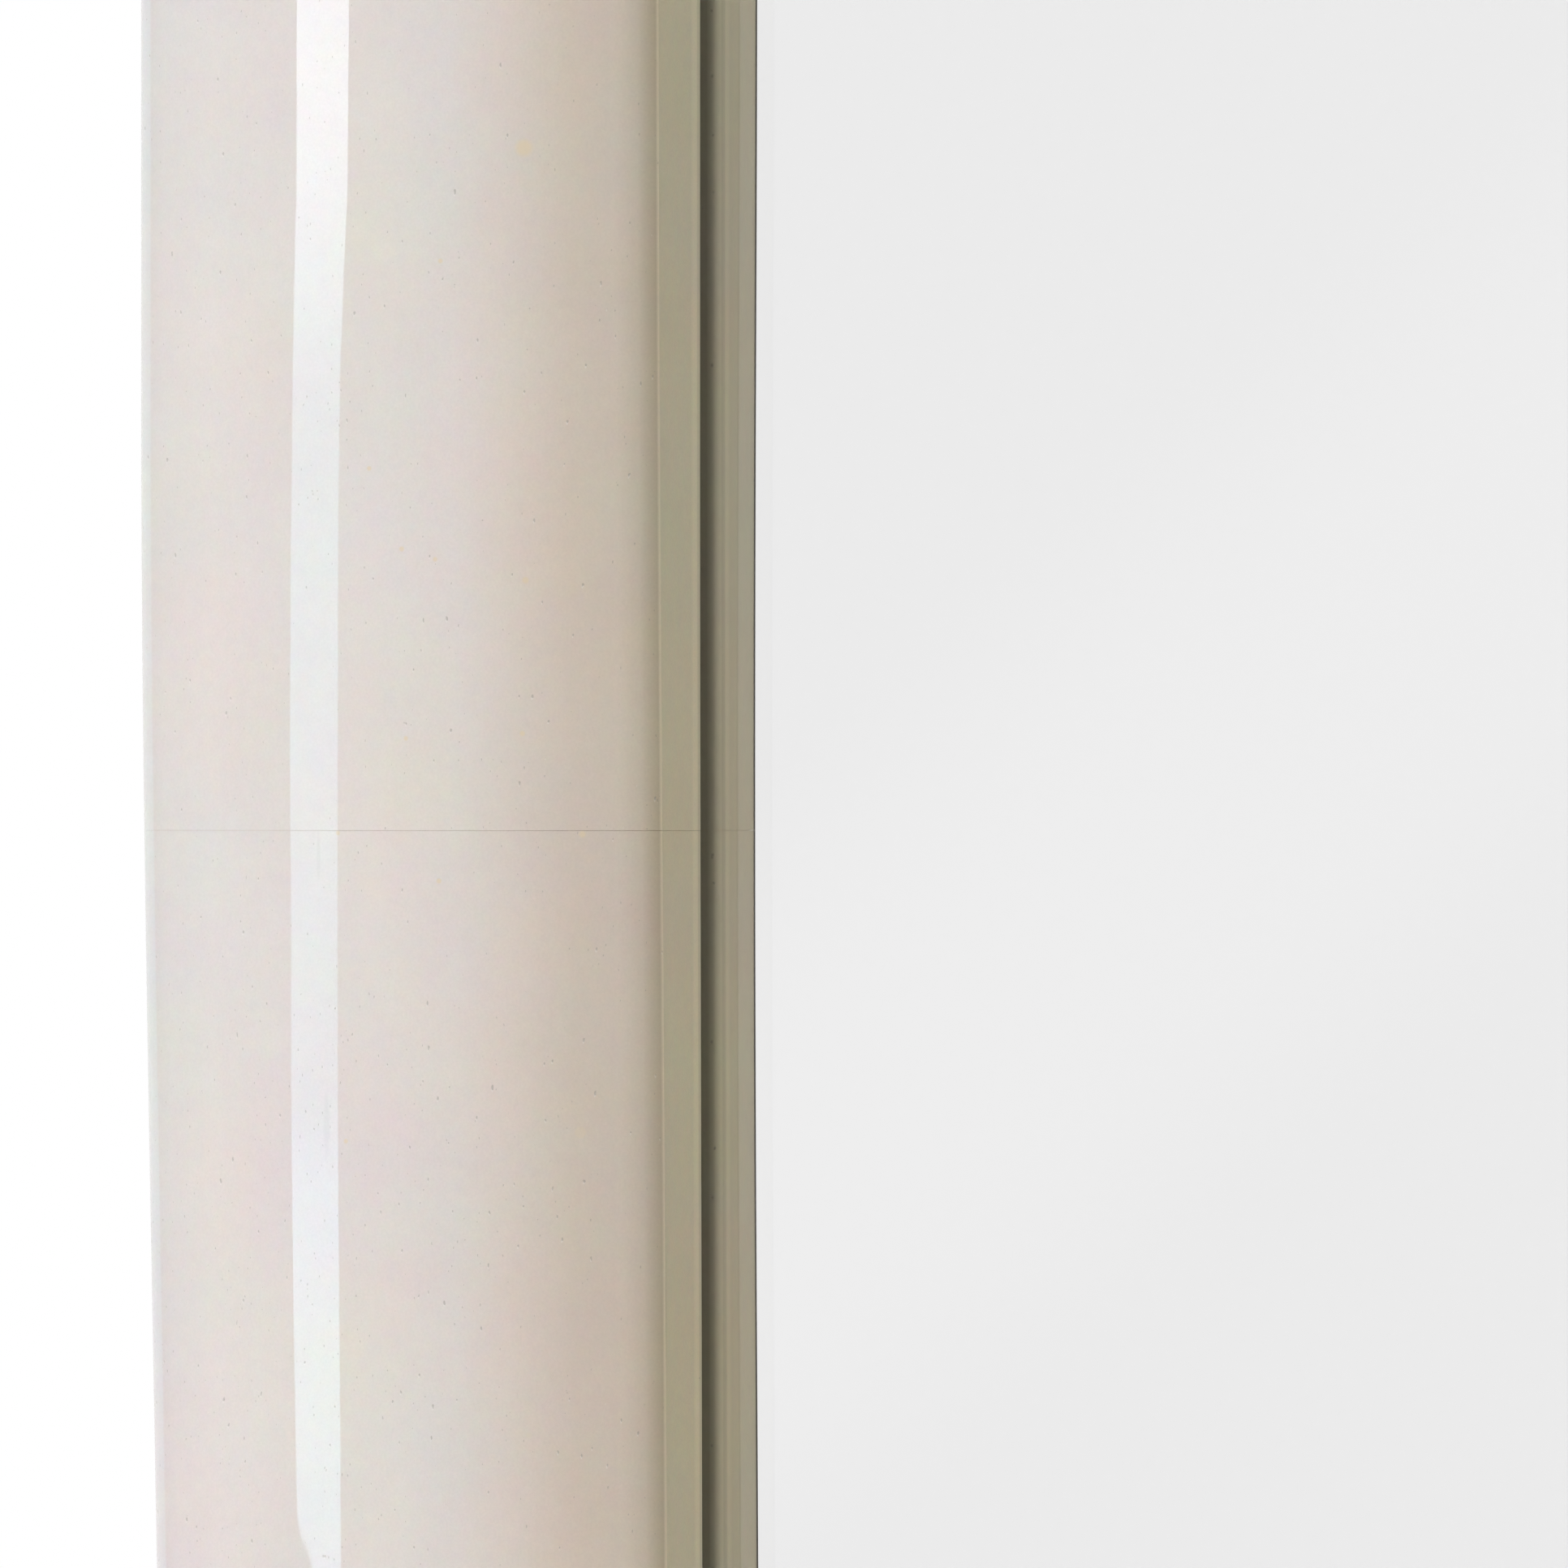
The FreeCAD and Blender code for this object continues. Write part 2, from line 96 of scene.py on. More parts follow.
# Marks on the lacquer of the left stile: across it from its outer face, down it, and size in mm.
# The first two are shares of its width and its length.
STAINS = (
    (0.780, 0.4417, 1.8), (0.628, 0.4513, 0.50), (0.492, 0.4690, 0.50), (0.555, 0.4759, 0.55),
    (0.618, 0.4768, 0.50), (0.781, 0.4786, 0.70), (0.775, 0.4917, 0.55), (0.563, 0.4921, 0.50),
    (0.625, 0.5043, 0.55), (0.430, 0.5002, 0.50), (0.446, 0.5266, 0.50), (0.878, 0.5003, 0.70))
SCUFFS = ((0.408, 0.5253, 0.75), (0.39, 0.5023, 0.5))
SCUFF_SQUASH = 0.11             # a scuff is drawn in a space squashed upright, so it comes out long

# The lacquer is faintly warmer and cooler by turns, up a stile
WARM_WAVES = (0.48, 0.83)
WARM_LEVEL = joint_z - 0.0566   # where both waves turn from warm to cool
WARM_TINT = (0.007, -0.0035, -0.0035)

# A faint diagonal band of painted reflected light in the silver, paler than round it: its way,
# width and a place on its middle
BAND_WAY, BAND_WIDTH, BAND_MIDDLE = (-0.626, 0.0, 0.780), 0.19, (-0.246, 0.0, -0.892)

# The stage
ARRIS_FORWARD = 35.1 * MM       # the arris in front of the back face
CREST_INWARD = 33 * MM          # the crest in from the outer face
KEY_TURN, KEY_DISTANCE, KEY_RISE, KEY_SIZE = math.radians(-42), 3.0, 0.2, (1.5, 2.4)
BACK_PLACE, BACK_SIZE = (0.5, 2.6, 0.5), (1.8, 2.2)
KEY_COLOUR, BACK_COLOUR = (0.93, 0.94, 1.0), (1.0, 0.98, 0.95)
WINDOW_TURN, WINDOW_DISTANCE, WINDOW_WIDTH = math.radians(-28.7), 1.6, 0.163
WINDOW_EDGES = (    # heights above the picture's middle, and left and right edges in widths
    (-0.203, 0.60, 0.88), (-0.194, 0.45, 0.91), (-0.1845, 0.30, 0.92), (-0.179, 0.19, 0.92),
    (-0.1765, 0.06, 0.92), (-0.172, -0.035, 0.92), (-0.162, -0.06, 0.92), (-0.12, -0.11, 0.91),
    (-0.078, -0.127, 0.905), (-0.035, -0.11, 0.92), (0.009, -0.125, 0.94), (0.055, -0.09, 0.96),
    (0.096, -0.05, 1.01), (0.12, -0.01, 1.11), (0.139, 0.03, 1.21), (0.183, 0.035, 1.25),
    (0.6, 0.06, 1.3), (1.2, 0.0, 1.2))


# ---- Settings

def length(name, text, millimetres):
    return bpy.props.FloatProperty(name=name, description=text, default=millimetres * MM, min=0.0,
                                   subtype="DISTANCE", unit="LENGTH", precision=5)


def angle(name, text, degrees):
    return bpy.props.FloatProperty(name=name, description=text, default=math.radians(degrees),
                                   subtype="ANGLE")


def colour(name, text, *default):
    return bpy.props.FloatVectorProperty(name=name, description=text, default=default, size=3,
                                         min=0.0, max=1.0, subtype="COLOR")


def power(name, text, watts):
    return bpy.props.FloatProperty(name=name, description=text, default=watts, subtype="POWER",
                                   unit="POWER")


class MIRROR_PG_section(bpy.types.PropertyGroup):
    """The section of a frame member."""
    width: length("Width", "Outer face to the inner arris", 85)
    depth: length("Depth", "Back face to the crest", 47)
    outer_round: length("Outer Round", "Radius of the front outer edge", 3)
    outer_crown: length("Outer Crown", "Radius of the crown outside its crest", 165)
    inner_crown: length("Inner Crown", "Radius of the crown inside its crest", 125)
    roll: length("Roll", "Radius of the tighter turn beside the arris", 12)
    roll_start: angle("Roll Start", "Slope of the crown where the roll starts", 20)
    roll_end: angle("Roll End", "Slope of the roll where it meets the arris", 55)
    arris: length("Arris", "Radius of the inner arris", 0.4)
    arris_stands: length("Arris Stands", "How far the arris stands out over the wall", 0.26)
    draft: angle("Wall Draft", "Lean of the inner wall", 2.3)
    wall: length("Wall", "Height of the inner wall", 13.7)
    lip_round: length("Lip Round", "Radius of the lip under the facing", 1.3)
    foot_round: length("Foot Round", "Radius of the facing's edge beside the glass", 1.15)
    foot_width: length("Foot Width", "Width of the facing's edge beside the glass", 2.9)
    glass_gap: length("Glass Gap", "Lower edge of the facing to the glass", 0.06)
    glass_drop: length("Glass Drop", "Underside of the lip to the glass", 1)
    skin: length("Skin", "Thickness of the facing", 1)
    wrap: length("Wrap", "Facing turned under the lip", 2)
    corner_round: length("Corner Round", "Radius of the frame's four upright edges", 3)
    joint_ease: length("Joint Ease", "Eased edge where two facings butt", 0.003)


class MIRROR_PG_finish(bpy.types.PropertyGroup):
    """How far the hand finish departs from true, and the finishes' colours."""
    drift: length("Drift", "How far the outer edge wanders inward at most", 3.85)
    arris_sink: length("Arris Sink", "How far the arris is rubbed down at most", 1.38)
    waviness: length("Waviness", "How far the lacquered surface undulates", 0.05)
    # The outer round is painted paler and greyer than the lacquer: a painted reflection.
    edge_sheen: colour("Edge Sheen", "Colour of the outer round, painted paler as its reflection",
                        0.715, 0.69, 0.685)
    lacquer_edge: colour("Edge Lacquer", "Colour beside the painted reflection on the outer round", 0.724, 0.665, 0.645)
    lacquer_outer: colour("Outer Lacquer", "Colour outside the crest", 0.763, 0.70, 0.667)
    lacquer: colour("Lacquer", "Colour along the crown", 0.79, 0.723, 0.68)
    # From the crown to the arris these colours are painted shade, darker and yellower where the
    # crown turns away from the key lamp.
    lacquer_turn_shade: colour("Warm Lacquer", "Colour where the crown turns to the arris",
                         0.782, 0.684, 0.617)
    lacquer_inner_shade: colour("Inner Lacquer", "Yellower colour towards the arris",
                          0.71, 0.601, 0.512)
    lacquer_roll_shade: colour("Roll Lacquer", "Colour on the roll beside the arris",
                         0.747, 0.632, 0.519)
    lacquer_arris_shade: colour("Arris Lacquer", "Colour next to the arris", 0.615, 0.505, 0.358)
    # The arris itself is painted pale: a painted highlight.
    arris_highlight: colour("Arris Highlight", "Colour of the arris itself", 0.93, 0.79, 0.60)
    ledge_dark: colour("Ledge Dark", "Colour of the small ledge under the arris",
                      0.075, 0.06, 0.052)
    # The wall's colour is yellower than the crown's as painted warm shade.
    wall: colour("Inner Wall", "Colour of the matt inner wall", 0.825, 0.715, 0.54)
    speck: colour("Speck", "Colour of the pinholes", 0.30, 0.27, 0.24)
    stain: colour("Stain", "Colour of the yellow brown spots", 0.80, 0.66, 0.45)
    timber: colour("Timber", "Colour of the planed timber", 0.62, 0.46, 0.29)
    board: colour("Board", "Colour of the hardboard", 0.30, 0.19, 0.11)
    gloss_roughness: bpy.props.FloatProperty(
        name="Gloss", description="Roughness of the lacquer", default=0.018, min=0.0, max=1.0,
        subtype="FACTOR")


class MIRROR_PG_stage(bpy.types.PropertyGroup):
    """The floor, the light and the camera."""
    floor_gap: length("Floor Gap", "Lower edge of the frame to the floor", 20)
    camera_turn: angle("Camera Turn", "How far the camera stands to the right of square on", 25)
    camera_distance: length("Camera Distance", "Camera to the arris", 3000)
    view_width: length("View Width", "Width of the picture at the arris", 238.3)
    view_aside: length("View Aside", "Arris to the middle of the picture", 19.1)
    view_height: length("View Height", "Facing joint to the middle of the picture", 7.1)
    key_power: power("Key Power", "Power of the soft key lamp", 58.0)
    back_power: power("Back Power", "Power of the lamp behind", 45.0)
    ambient: colour("Ambient", "Light from all round", 0.43, 0.42, 0.38)
    floor: colour("Floor", "Colour of the floor", 0.82, 0.82, 0.81)


def settings():
    scene = bpy.context.scene
    return scene.mirror_section, scene.mirror_finish, scene.mirror_stage


# ---- Material nodes

def scaled(base, part):
    """A colour made darker or paler."""
    return [min(1.0, part * c) for c in base]


class Nodes:
    """A node tree, and short ways to add to it. All but add give the new node's output."""

    def __init__(self, tree):
        self.tree = tree

    def add(self, kind, values=None, **options):
        """A shader node with its options set, and its sockets set or linked."""
        made = self.tree.nodes.new(kind)
        for name, value in options.items():
            setattr(made, name, value)
        for name, value in (values or {}).items():
            if isinstance(value, bpy.types.NodeSocket):
                self.tree.links.new(value, made.inputs[name])
            else:
                made.inputs[name].default_value = value
        return made

    def math(self, operation, *values):
        return self.add("ShaderNodeMath", dict(enumerate(values)), operation=operation).outputs[0]

    def times(self, first, second):
        return self.math("MULTIPLY", first, second)

    def plus(self, first, second):
        return self.math("ADD", first, second)

    def vector(self, operation, *values):
        made = self.add("ShaderNodeVectorMath", dict(enumerate(values)), operation=operation)
        single = operation in ("DISTANCE", "LENGTH", "DOT_PRODUCT")
        return made.outputs["Value" if single else "Vector"]

    def point(self, scale=None, **mapping):
        """The place on the object in its own axes, stretched where a scale is given."""
        point = self.add("ShaderNodeTexCoord").outputs["Object"]
        if scale is None:
            return point
        mapping.update(Vector=point, Scale=scale)
        return self.add("ShaderNodeMapping", mapping).outputs[0]

    def height(self):
        return self.add("ShaderNodeSeparateXYZ", {0: self.point()}).outputs["Z"]

    def cloud(self, point, scale, detail=2.0, roughness=0.5, distortion=0.0, output="Fac"):
        return self.add("ShaderNodeTexNoise",
                        {"Vector": point, "Scale": scale, "Detail": detail,
                         "Roughness": roughness, "Distortion": distortion}).outputs[output]

    def wave(self, way, scale, distortion):
        return self.add("ShaderNodeTexWave", {"Vector": self.point(), "Scale": scale,
                                              "Distortion": distortion},
                        bands_direction=way).outputs["Fac"]

    def span(self, value, low, high, start=0.0, end=1.0, smooth=True):
        """A value taken from one range to another, and held at its ends."""
        return self.add("ShaderNodeMapRange",
                        {"Value": value, "From Min": low, "From Max": high, "To Min": start,
                         "To Max": end},
                        interpolation_type="SMOOTHSTEP" if smooth else "LINEAR").outputs[0]

    def blended(self, amount, first, second):
        """One colour laid over another by an amount."""
        mix = self.add("ShaderNodeMix", data_type="RGBA")
        for name, value in (("Factor_Float", amount), ("A_Color", first), ("B_Color", second)):
            socket = next(s for s in mix.inputs if s.identifier == name)
            if isinstance(value, bpy.types.NodeSocket):
                self.tree.links.new(value, socket)
            else:
                socket.default_value = (*value, 1) if hasattr(value, "__len__") else value
        return next(s for s in mix.outputs if s.identifier == "Result_Color")

    def bent(self, point, scale, amount):
        """A point pushed about by noise, so that what is drawn on it has a ragged outline."""
        push = self.vector("SUBTRACT", self.cloud(point, scale, 1.0, output="Color"), (0.5,) * 3)
        push = self.add("ShaderNodeVectorMath", {0: push, "Scale": 2 * amount}, operation="SCALE")
        return self.vector("ADD", point, push.outputs[0])

    def dots(self, point, spacing, radius, keep):
        """Sparse dots: 1 inside a dot. Keep is the share of the cells that have one."""
        cells = self.add("ShaderNodeTexVoronoi", {"Vector": point, "Scale": 1 / spacing,
                                                  "Randomness": 1.0}).outputs
        chance = self.add("ShaderNodeSeparateColor", {"Color": cells["Color"]}).outputs
        size = self.span(chance[1], 0, 1, 0.45 * radius / spacing, radius / spacing, False)
        inside = self.span(self.math("DIVIDE", cells["Distance"], size), 0.75, 1.1, 1, 0)
        return self.times(inside, self.math("LESS_THAN", chance[0], keep))

    def pits(self, point, spacing, radius, keep):
        """Sparse pits of ragged outline: 1 inside a pit."""
        return self.dots(self.bent(point, 0.5 / radius, 0.8 * radius), spacing, radius, keep)

    def spot(self, point, place, radius):
        """1 at a place on the surface, fading out within a radius."""
        return self.span(self.vector("DISTANCE", point, place), 0.35 * radius, radius, 1, 0)

    def across(self, name, stops):
        """A colour that changes with how far in or forward a place is on the member's section."""
        place = self.add("ShaderNodeAttribute", attribute_name=name).outputs["Fac"]
        low, high = stops[0][0], stops[-1][0]
        ramp = self.add("ShaderNodeValToRGB", {0: self.span(place, low, high, smooth=False)})
        while len(ramp.color_ramp.elements) < len(stops):
            ramp.color_ramp.elements.new(0.5)
        for element, (reach, tint) in zip(ramp.color_ramp.elements, stops):
            element.position = (reach - low) / (high - low)
            element.color = (*tint, 1)
        return ramp.outputs[0]

    def clouded(self, point, tint):
        """Faint clouds of every colour and size over a colour, as in parchment under lacquer."""
        height, warm = self.height(), 0.0
        for stretch in (2 * math.pi / wave_length for wave_length in WARM_WAVES):
            turn = self.math("MULTIPLY_ADD", height, -stretch, stretch * WARM_LEVEL)
            warm = self.plus(self.math("SINE", turn), warm)
        changes = [self.vector("MULTIPLY_ADD", warm, WARM_TINT, (1.0,) * 3)]
        for scale, detail, amount in ((7.0, 2.0, 0.05), (24.0, 3.0, 0.11), (95.0, 2.0, 0.08),
                                      (520.0, 2.0, 0.09)):
            hues = self.cloud(point, scale, detail, output="Color")
            changes.append(self.vector("MULTIPLY_ADD", hues, (amount,) * 3,
                                       (1 - amount / 2,) * 3))
        changes.append(self.span(self.cloud(point, 2600.0, 1.0), 0.2, 0.8, 0.972, 1.028, False))
        for change in changes:
            tint = self.vector("MULTIPLY", tint, change)
        return tint

    def looked_at(self):
        """1 where the camera looks, also by gloss or glass, and 0 for the light's own bounces."""
        rays = self.add("ShaderNodeLightPath").outputs
        seen = self.plus(rays["Is Camera Ray"],
                         self.plus(rays["Is Glossy Ray"], rays["Is Transmission Ray"]))
        return self.math("MINIMUM", seen, 1.0)


class Coat(Nodes):
    """A material with a Principled shader, whose constant values are on its own sockets."""

    def __init__(self, name, base, roughness, **sockets):
        self.material = bpy.data.materials.new(name)
        self.material.use_nodes = True
        self.material.diffuse_color = (*base, 1)
        super().__init__(self.material.node_tree)
        self.shader = self.tree.nodes["Principled BSDF"]
        sockets.update(Base_Color=(*base, 1), Roughness=roughness)
        for socket, value in sockets.items():
            self.shader.inputs[socket.replace("_", " ")].default_value = value

    def drive(self, **sockets):
        """Link the shader's sockets."""
        for socket, value in sockets.items():
            self.tree.links.new(value, self.shader.inputs[socket.replace("_", " ")])

    def bump(self, height, distance=1.0):
        self.drive(Normal=self.add("ShaderNodeBump",
                                   {"Height": height, "Distance": distance}).outputs[0])

    def show(self, surface):
        """Link another surface than the Principled shader alone to the material's output."""
        self.tree.links.new(surface, self.tree.nodes["Material Output"].inputs["Surface"])


# ---- Materials

def lacquer_material():
    """Glossy off-white lacquer with clouds, pinholes and a few yellow spots, and painted light and
    shade across its section.
    """
    section, finish, _ = settings()
    gloss = finish.gloss_roughness
    coat = Coat("gloss_lacquer", finish.lacquer, gloss, IOR=1.5)
    point = coat.point()
    # The painted reflection covers the outer round out to this reach, and a little darker lacquer
    # follows it.
    width, rubbed = section.width, 0.9 * section.outer_round
    # Across the section from the outer face: a painted reflection on the outer round, then the
    # lacquer, then painted shade that darkens and yellows towards the arris, and a painted
    # highlight on the arris.
    tint = coat.across("inward", (
        (0.0, finish.edge_sheen), (rubbed - 0.03 * MM, finish.edge_sheen),
        (rubbed + 0.03 * MM, scaled(finish.lacquer_edge, 0.955)),
        (rubbed + 2.6 * MM, finish.lacquer_edge), (0.16 * width, finish.lacquer_outer),
        (0.3 * width, finish.lacquer_outer), (0.5 * width, finish.lacquer),
        (0.65 * width, finish.lacquer), (0.74 * width, finish.lacquer_turn_shade),
        (0.86 * width, finish.lacquer_inner_shade), (0.925 * width, scaled(finish.lacquer_inner_shade, 0.97)),
        (0.972 * width, finish.lacquer_roll_shade), (0.9988 * width, finish.lacquer_arris_shade),
        (0.9993 * width, finish.arris_highlight), (width, finish.arris_highlight)))
    tint = coat.clouded(point, tint)
    slanted = coat.point((1.5, 1.5, 0.75), Rotation=(0.0, 0.45, 0.0))
    crowd = coat.span(coat.cloud(point, 9.0), 0.3, 0.7, 0.08, 0.55, False)
    holes = coat.pits(slanted, 2.3 * MM, 0.28 * MM, crowd)
    fine = coat.pits(slanted, 1.2 * MM, 0.17 * MM, crowd)
    marks = coat.plus(coat.times(holes, 0.5), coat.times(fine, 0.36))
    # A paler copy of the pits, set a little to one side: painted highlights on their lit rims.
    glint_offset = coat.vector("ADD", slanted, (0.2 * MM, 0.0, 0.14 * MM))
    pit_glints = coat.times(coat.pits(glint_offset, 2.3 * MM, 0.28 * MM, crowd), 0.3)
    tint = coat.blended(pit_glints, tint, (0.93, 0.90, 0.87))
    tint = coat.blended(marks, tint, finish.speck)

    def mark(surface, squash, inward, down, size):
        """1 on one of the marks, on a surface drawn flat and squashed upright."""
        place = (outer_low.x + inward * width, 0.0,
                 squash * (outer_high.z - down * LENGTHS[LEFT]))
        return coat.spot(surface, place, size * MM)

    stains = coat.times(coat.dots(point, 21 * MM, 1.1 * MM, 0.4), 0.3)
    flat = coat.vector("MULTIPLY", point, (1.0, 0.0, 1.0))
    for stain in STAINS:
        stains = coat.plus(stains, coat.times(mark(flat, 1.0, *stain), 0.65))
    tint = coat.blended(stains, tint, finish.stain)
    thin = coat.vector("MULTIPLY", coat.bent(point, 90.0, 0.4 * MM), (1.0, 0.0, SCUFF_SQUASH))
    scuffs = 0.0
    for scuff in SCUFFS:
        scuffs = coat.plus(mark(thin, SCUFF_SQUASH, *scuff), scuffs)
    tint = coat.blended(coat.times(scuffs, 0.08), tint, finish.speck)
    rough = coat.span(coat.cloud(point, 30.0, 3.0), 0.35, 0.75, gloss * 0.7, gloss * 1.5, False)
    rough = coat.plus(rough, coat.times(scuffs, 0.02))
    coat.drive(Base_Color=tint, Roughness=coat.plus(rough, coat.times(holes, 0.3)))
    peel = coat.times(coat.cloud(point, 150.0, 1.0), 0.0015 * MM)
    coat.bump(coat.plus(peel, coat.times(marks, -0.04 * MM)))
    return coat.material


def wall_material():
    """The inner wall's lacquer, which isn't polished: duller and more speckled, yellower as painted
    warm shade, with painted light and shade near its foot.
    """
    section, finish, _ = settings()
    coat = Coat("matt_lacquer", finish.wall, 0.42, IOR=1.45, Specular_IOR_Level=0.03)
    point = coat.point()
    foot = back_y - glass_front + section.glass_gap
    # Near the foot the wall is painted paler in bands, as the light the mirror throws on the foot's
    # round, and darker between them as painted shade.
    tint = coat.across("forward", [
        (foot + above * MM, scaled(finish.wall, part))
        for above, part in ((0.0, 1.0), (0.2, 1.06), (0.6, 1.04), (0.72, 0.9), (1.7, 0.9),
                            (2.0, 1.06), (3.2, 1.06), (4.0, 0.98), (15.0, 0.98))])
    # The underside of the lip beside the glass is painted darker towards the heel: painted shade
    # under the lip.
    under = coat.across("inward", [
        (section.width - out * MM, (part,) * 3)
        for out, part in ((3.0, 0.45), (1.8, 0.45), (1.0, 0.68), (0.5, 0.98), (0.3, 1.0),
                          (0.0, 1.0))])
    tint = coat.clouded(point, coat.vector("MULTIPLY", tint, under))
    holes = coat.pits(point, 2.0 * MM, 0.26 * MM, 0.3)
    coat.drive(Base_Color=coat.blended(coat.times(holes, 0.6), tint, finish.speck))
    coat.bump(coat.plus(coat.times(coat.cloud(point, 420.0, 3.0), 0.02 * MM),
                        coat.times(holes, -0.03 * MM)))
    return coat.material


def timber_material(name, grain_along):
    """Planed softwood with its grain along X or Z."""
    timber = settings()[1].timber
    coat = Coat(name, timber, 0.55)
    slow = tuple(0.045 if axis == grain_along else 1.0 for axis in "XYZ")
    point = coat.point(slow)
    rings = coat.cloud(point, 95.0, 3.0, 0.55, 0.6)
    fibre = coat.cloud(coat.point(tuple(s * 0.4 if s < 1 else 1.0 for s in slow)), 900.0)
    dark = [c * part for c, part in zip(timber, (0.80, 0.69, 0.58))]
    growth = coat.math("SINE", coat.times(coat.cloud(point, 24.0), 170.0))
    tint = coat.blended(coat.span(rings, 0.36, 0.66, 0.35, 0), scaled(timber, 1.16), dark)
    tint = coat.blended(coat.span(growth, -0.1, 1.0, 0, 0.6), tint, dark)
    tint = coat.blended(coat.span(fibre, 0.5, 0.75, 0, 0.35), tint, dark)
    tint = coat.blended(coat.span(coat.cloud(coat.point(), 6.0), 0.35, 0.7, 0, 0.35), tint, timber)
    coat.drive(Base_Color=tint, Roughness=coat.span(fibre, 0.3, 0.7, 0.46, 0.66))
    coat.bump(coat.plus(coat.times(fibre, 0.05 * MM), coat.times(rings, 0.05 * MM)))
    return coat.material


def board_material():
    """Hardboard: brown pressed fibre, with its rough screen side out."""
    board = settings()[1].board
    coat = Coat("hardboard", board, 0.62)
    point = coat.point()
    fibre = coat.cloud(point, 760.0, 5.0, 0.7, 0.25)
    flecks = coat.cloud(coat.point((1, 1, 0.35)), 210.0, 4.0, 0.6)
    screen = coat.times(coat.wave("X", 190.0, 1.5), coat.wave("Z", 190.0, 1.5))
    tint = coat.blended(coat.span(fibre, 0.35, 0.68), scaled(board, 0.72), scaled(board, 1.35))
    for amount, part in ((coat.span(flecks, 0.6, 0.78, 0, 0.5), 1.9),
                         (coat.span(coat.cloud(point, 4.0), 0.4, 0.7, 0, 0.3), 0.85),
                         (coat.span(screen, 0.1, 0.6, 0.3, 0), 0.6)):
        tint = coat.blended(amount, tint, scaled(board, part))
    coat.drive(Base_Color=tint)
    coat.bump(coat.plus(coat.times(screen, 0.10 * MM), coat.times(fibre, 0.06 * MM)))
    return coat.material


def metal_material(name, base, roughness, streak, depth, stain=0.2):
    """Bare or plated metal with streaks, faint stains and fine scratches."""
    coat = Coat(name, base, roughness, Metallic=1.0)
    lines = coat.cloud(coat.point(streak), 900.0)
    blotch = coat.cloud(coat.point(), 55.0, 3.0, 0.6)
    scratch = coat.cloud(coat.point((0.3, 1.0, 2.2)), 380.0, 4.0, 0.7, 1.0)
    tint = coat.blended(coat.span(blotch, 0.45, 0.75, 0, stain), base, scaled(base, 0.62))
    tint = coat.blended(coat.span(lines, 0.35, 0.7, 0, 0.18), tint, scaled(base, 0.8))
    rough = coat.plus(coat.span(lines, 0.3, 0.7, roughness * 0.8, roughness * 1.25, False),
                      coat.span(blotch, 0.5, 0.8, 0, 0.12))
    coat.drive(Base_Color=tint, Roughness=rough)
    coat.bump(coat.plus(coat.times(lines, depth), coat.times(scratch, depth * 0.7)))
    return coat.material


def rubber_material(name, base, roughness=0.7):
    """Rubber with a fine grain and a dusty bloom."""
    coat = Coat(name, base, roughness)
    grain = coat.cloud(coat.point(), 900.0, 4.0, 0.7)
    bloom = coat.span(coat.cloud(coat.point(), 60.0, 3.0), 0.45, 0.75, 0, 0.35)
    dusty = [min(1.0, c * 1.35 + 0.02) for c in base]
    coat.drive(Base_Color=coat.blended(bloom, base, dusty),
               Roughness=coat.span(grain, 0.3, 0.7, roughness - 0.1, roughness + 0.12))
    coat.bump(grain, 0.05 * MM)
    return coat.material


def mottled(coat, pattern, dark, pale, depth, relief=None):
    """Finish a plain coat of two shades that follow a pattern, with its relief."""
    coat.drive(Base_Color=coat.blended(pattern, dark, pale))
    coat.bump(pattern if relief is None else relief, depth)
    return coat.material


def ledge_dark_material():
    """The dark colour on the small ledge under the arris, which the mirror shows as a thin dark
    line.
    """
    dark = settings()[1].ledge_dark
    coat = Coat("ledge_dark", dark, 0.7)
    return mottled(coat, coat.cloud(coat.point(), 160.0, 3.0), scaled(dark, 0.7),
                   scaled(dark, 1.4), 0.02 * MM)


def ply_material():
    """Plywood, with its plies across the depth."""
    coat = Coat("plywood", (0.58, 0.42, 0.25), 0.6)
    return mottled(coat, coat.wave("Y", 250.0, 1.2), (0.40, 0.27, 0.15), (0.66, 0.49, 0.30),
                   0.03 * MM, coat.cloud(coat.point(), 800.0, 3.0))


def back_paint_material():
    """The grey paint over the silver."""
    coat = Coat("mirror_back_paint", (0.24, 0.26, 0.27), 0.5)
    return mottled(coat, coat.cloud(coat.point(), 300.0, 3.0), (0.21, 0.23, 0.24),
                   (0.28, 0.30, 0.31), 0.02 * MM)


def felt_material():
    """Black felt, its hairs in every direction."""
    coat = Coat("black_felt", (0.075, 0.074, 0.064), 0.95, Sheen_Weight=0.5, Sheen_Roughness=0.5)
    return mottled(coat, coat.cloud(coat.point((0.6, 1.0, 0.6)), 1400.0, 5.0, 0.8, 1.5),
                   (0.05, 0.049, 0.042), (0.11, 0.108, 0.092), 0.25 * MM)


def foam_material():
    """Closed cell foam."""
    coat = Coat("foam", (0.72, 0.72, 0.70), 0.85)
    cells = coat.add("ShaderNodeTexVoronoi", {"Vector": coat.point(), "Scale": 1500.0})
    return mottled(coat, cells.outputs["Distance"], (0.60, 0.60, 0.58), (0.78, 0.78, 0.76),
                   0.2 * MM)


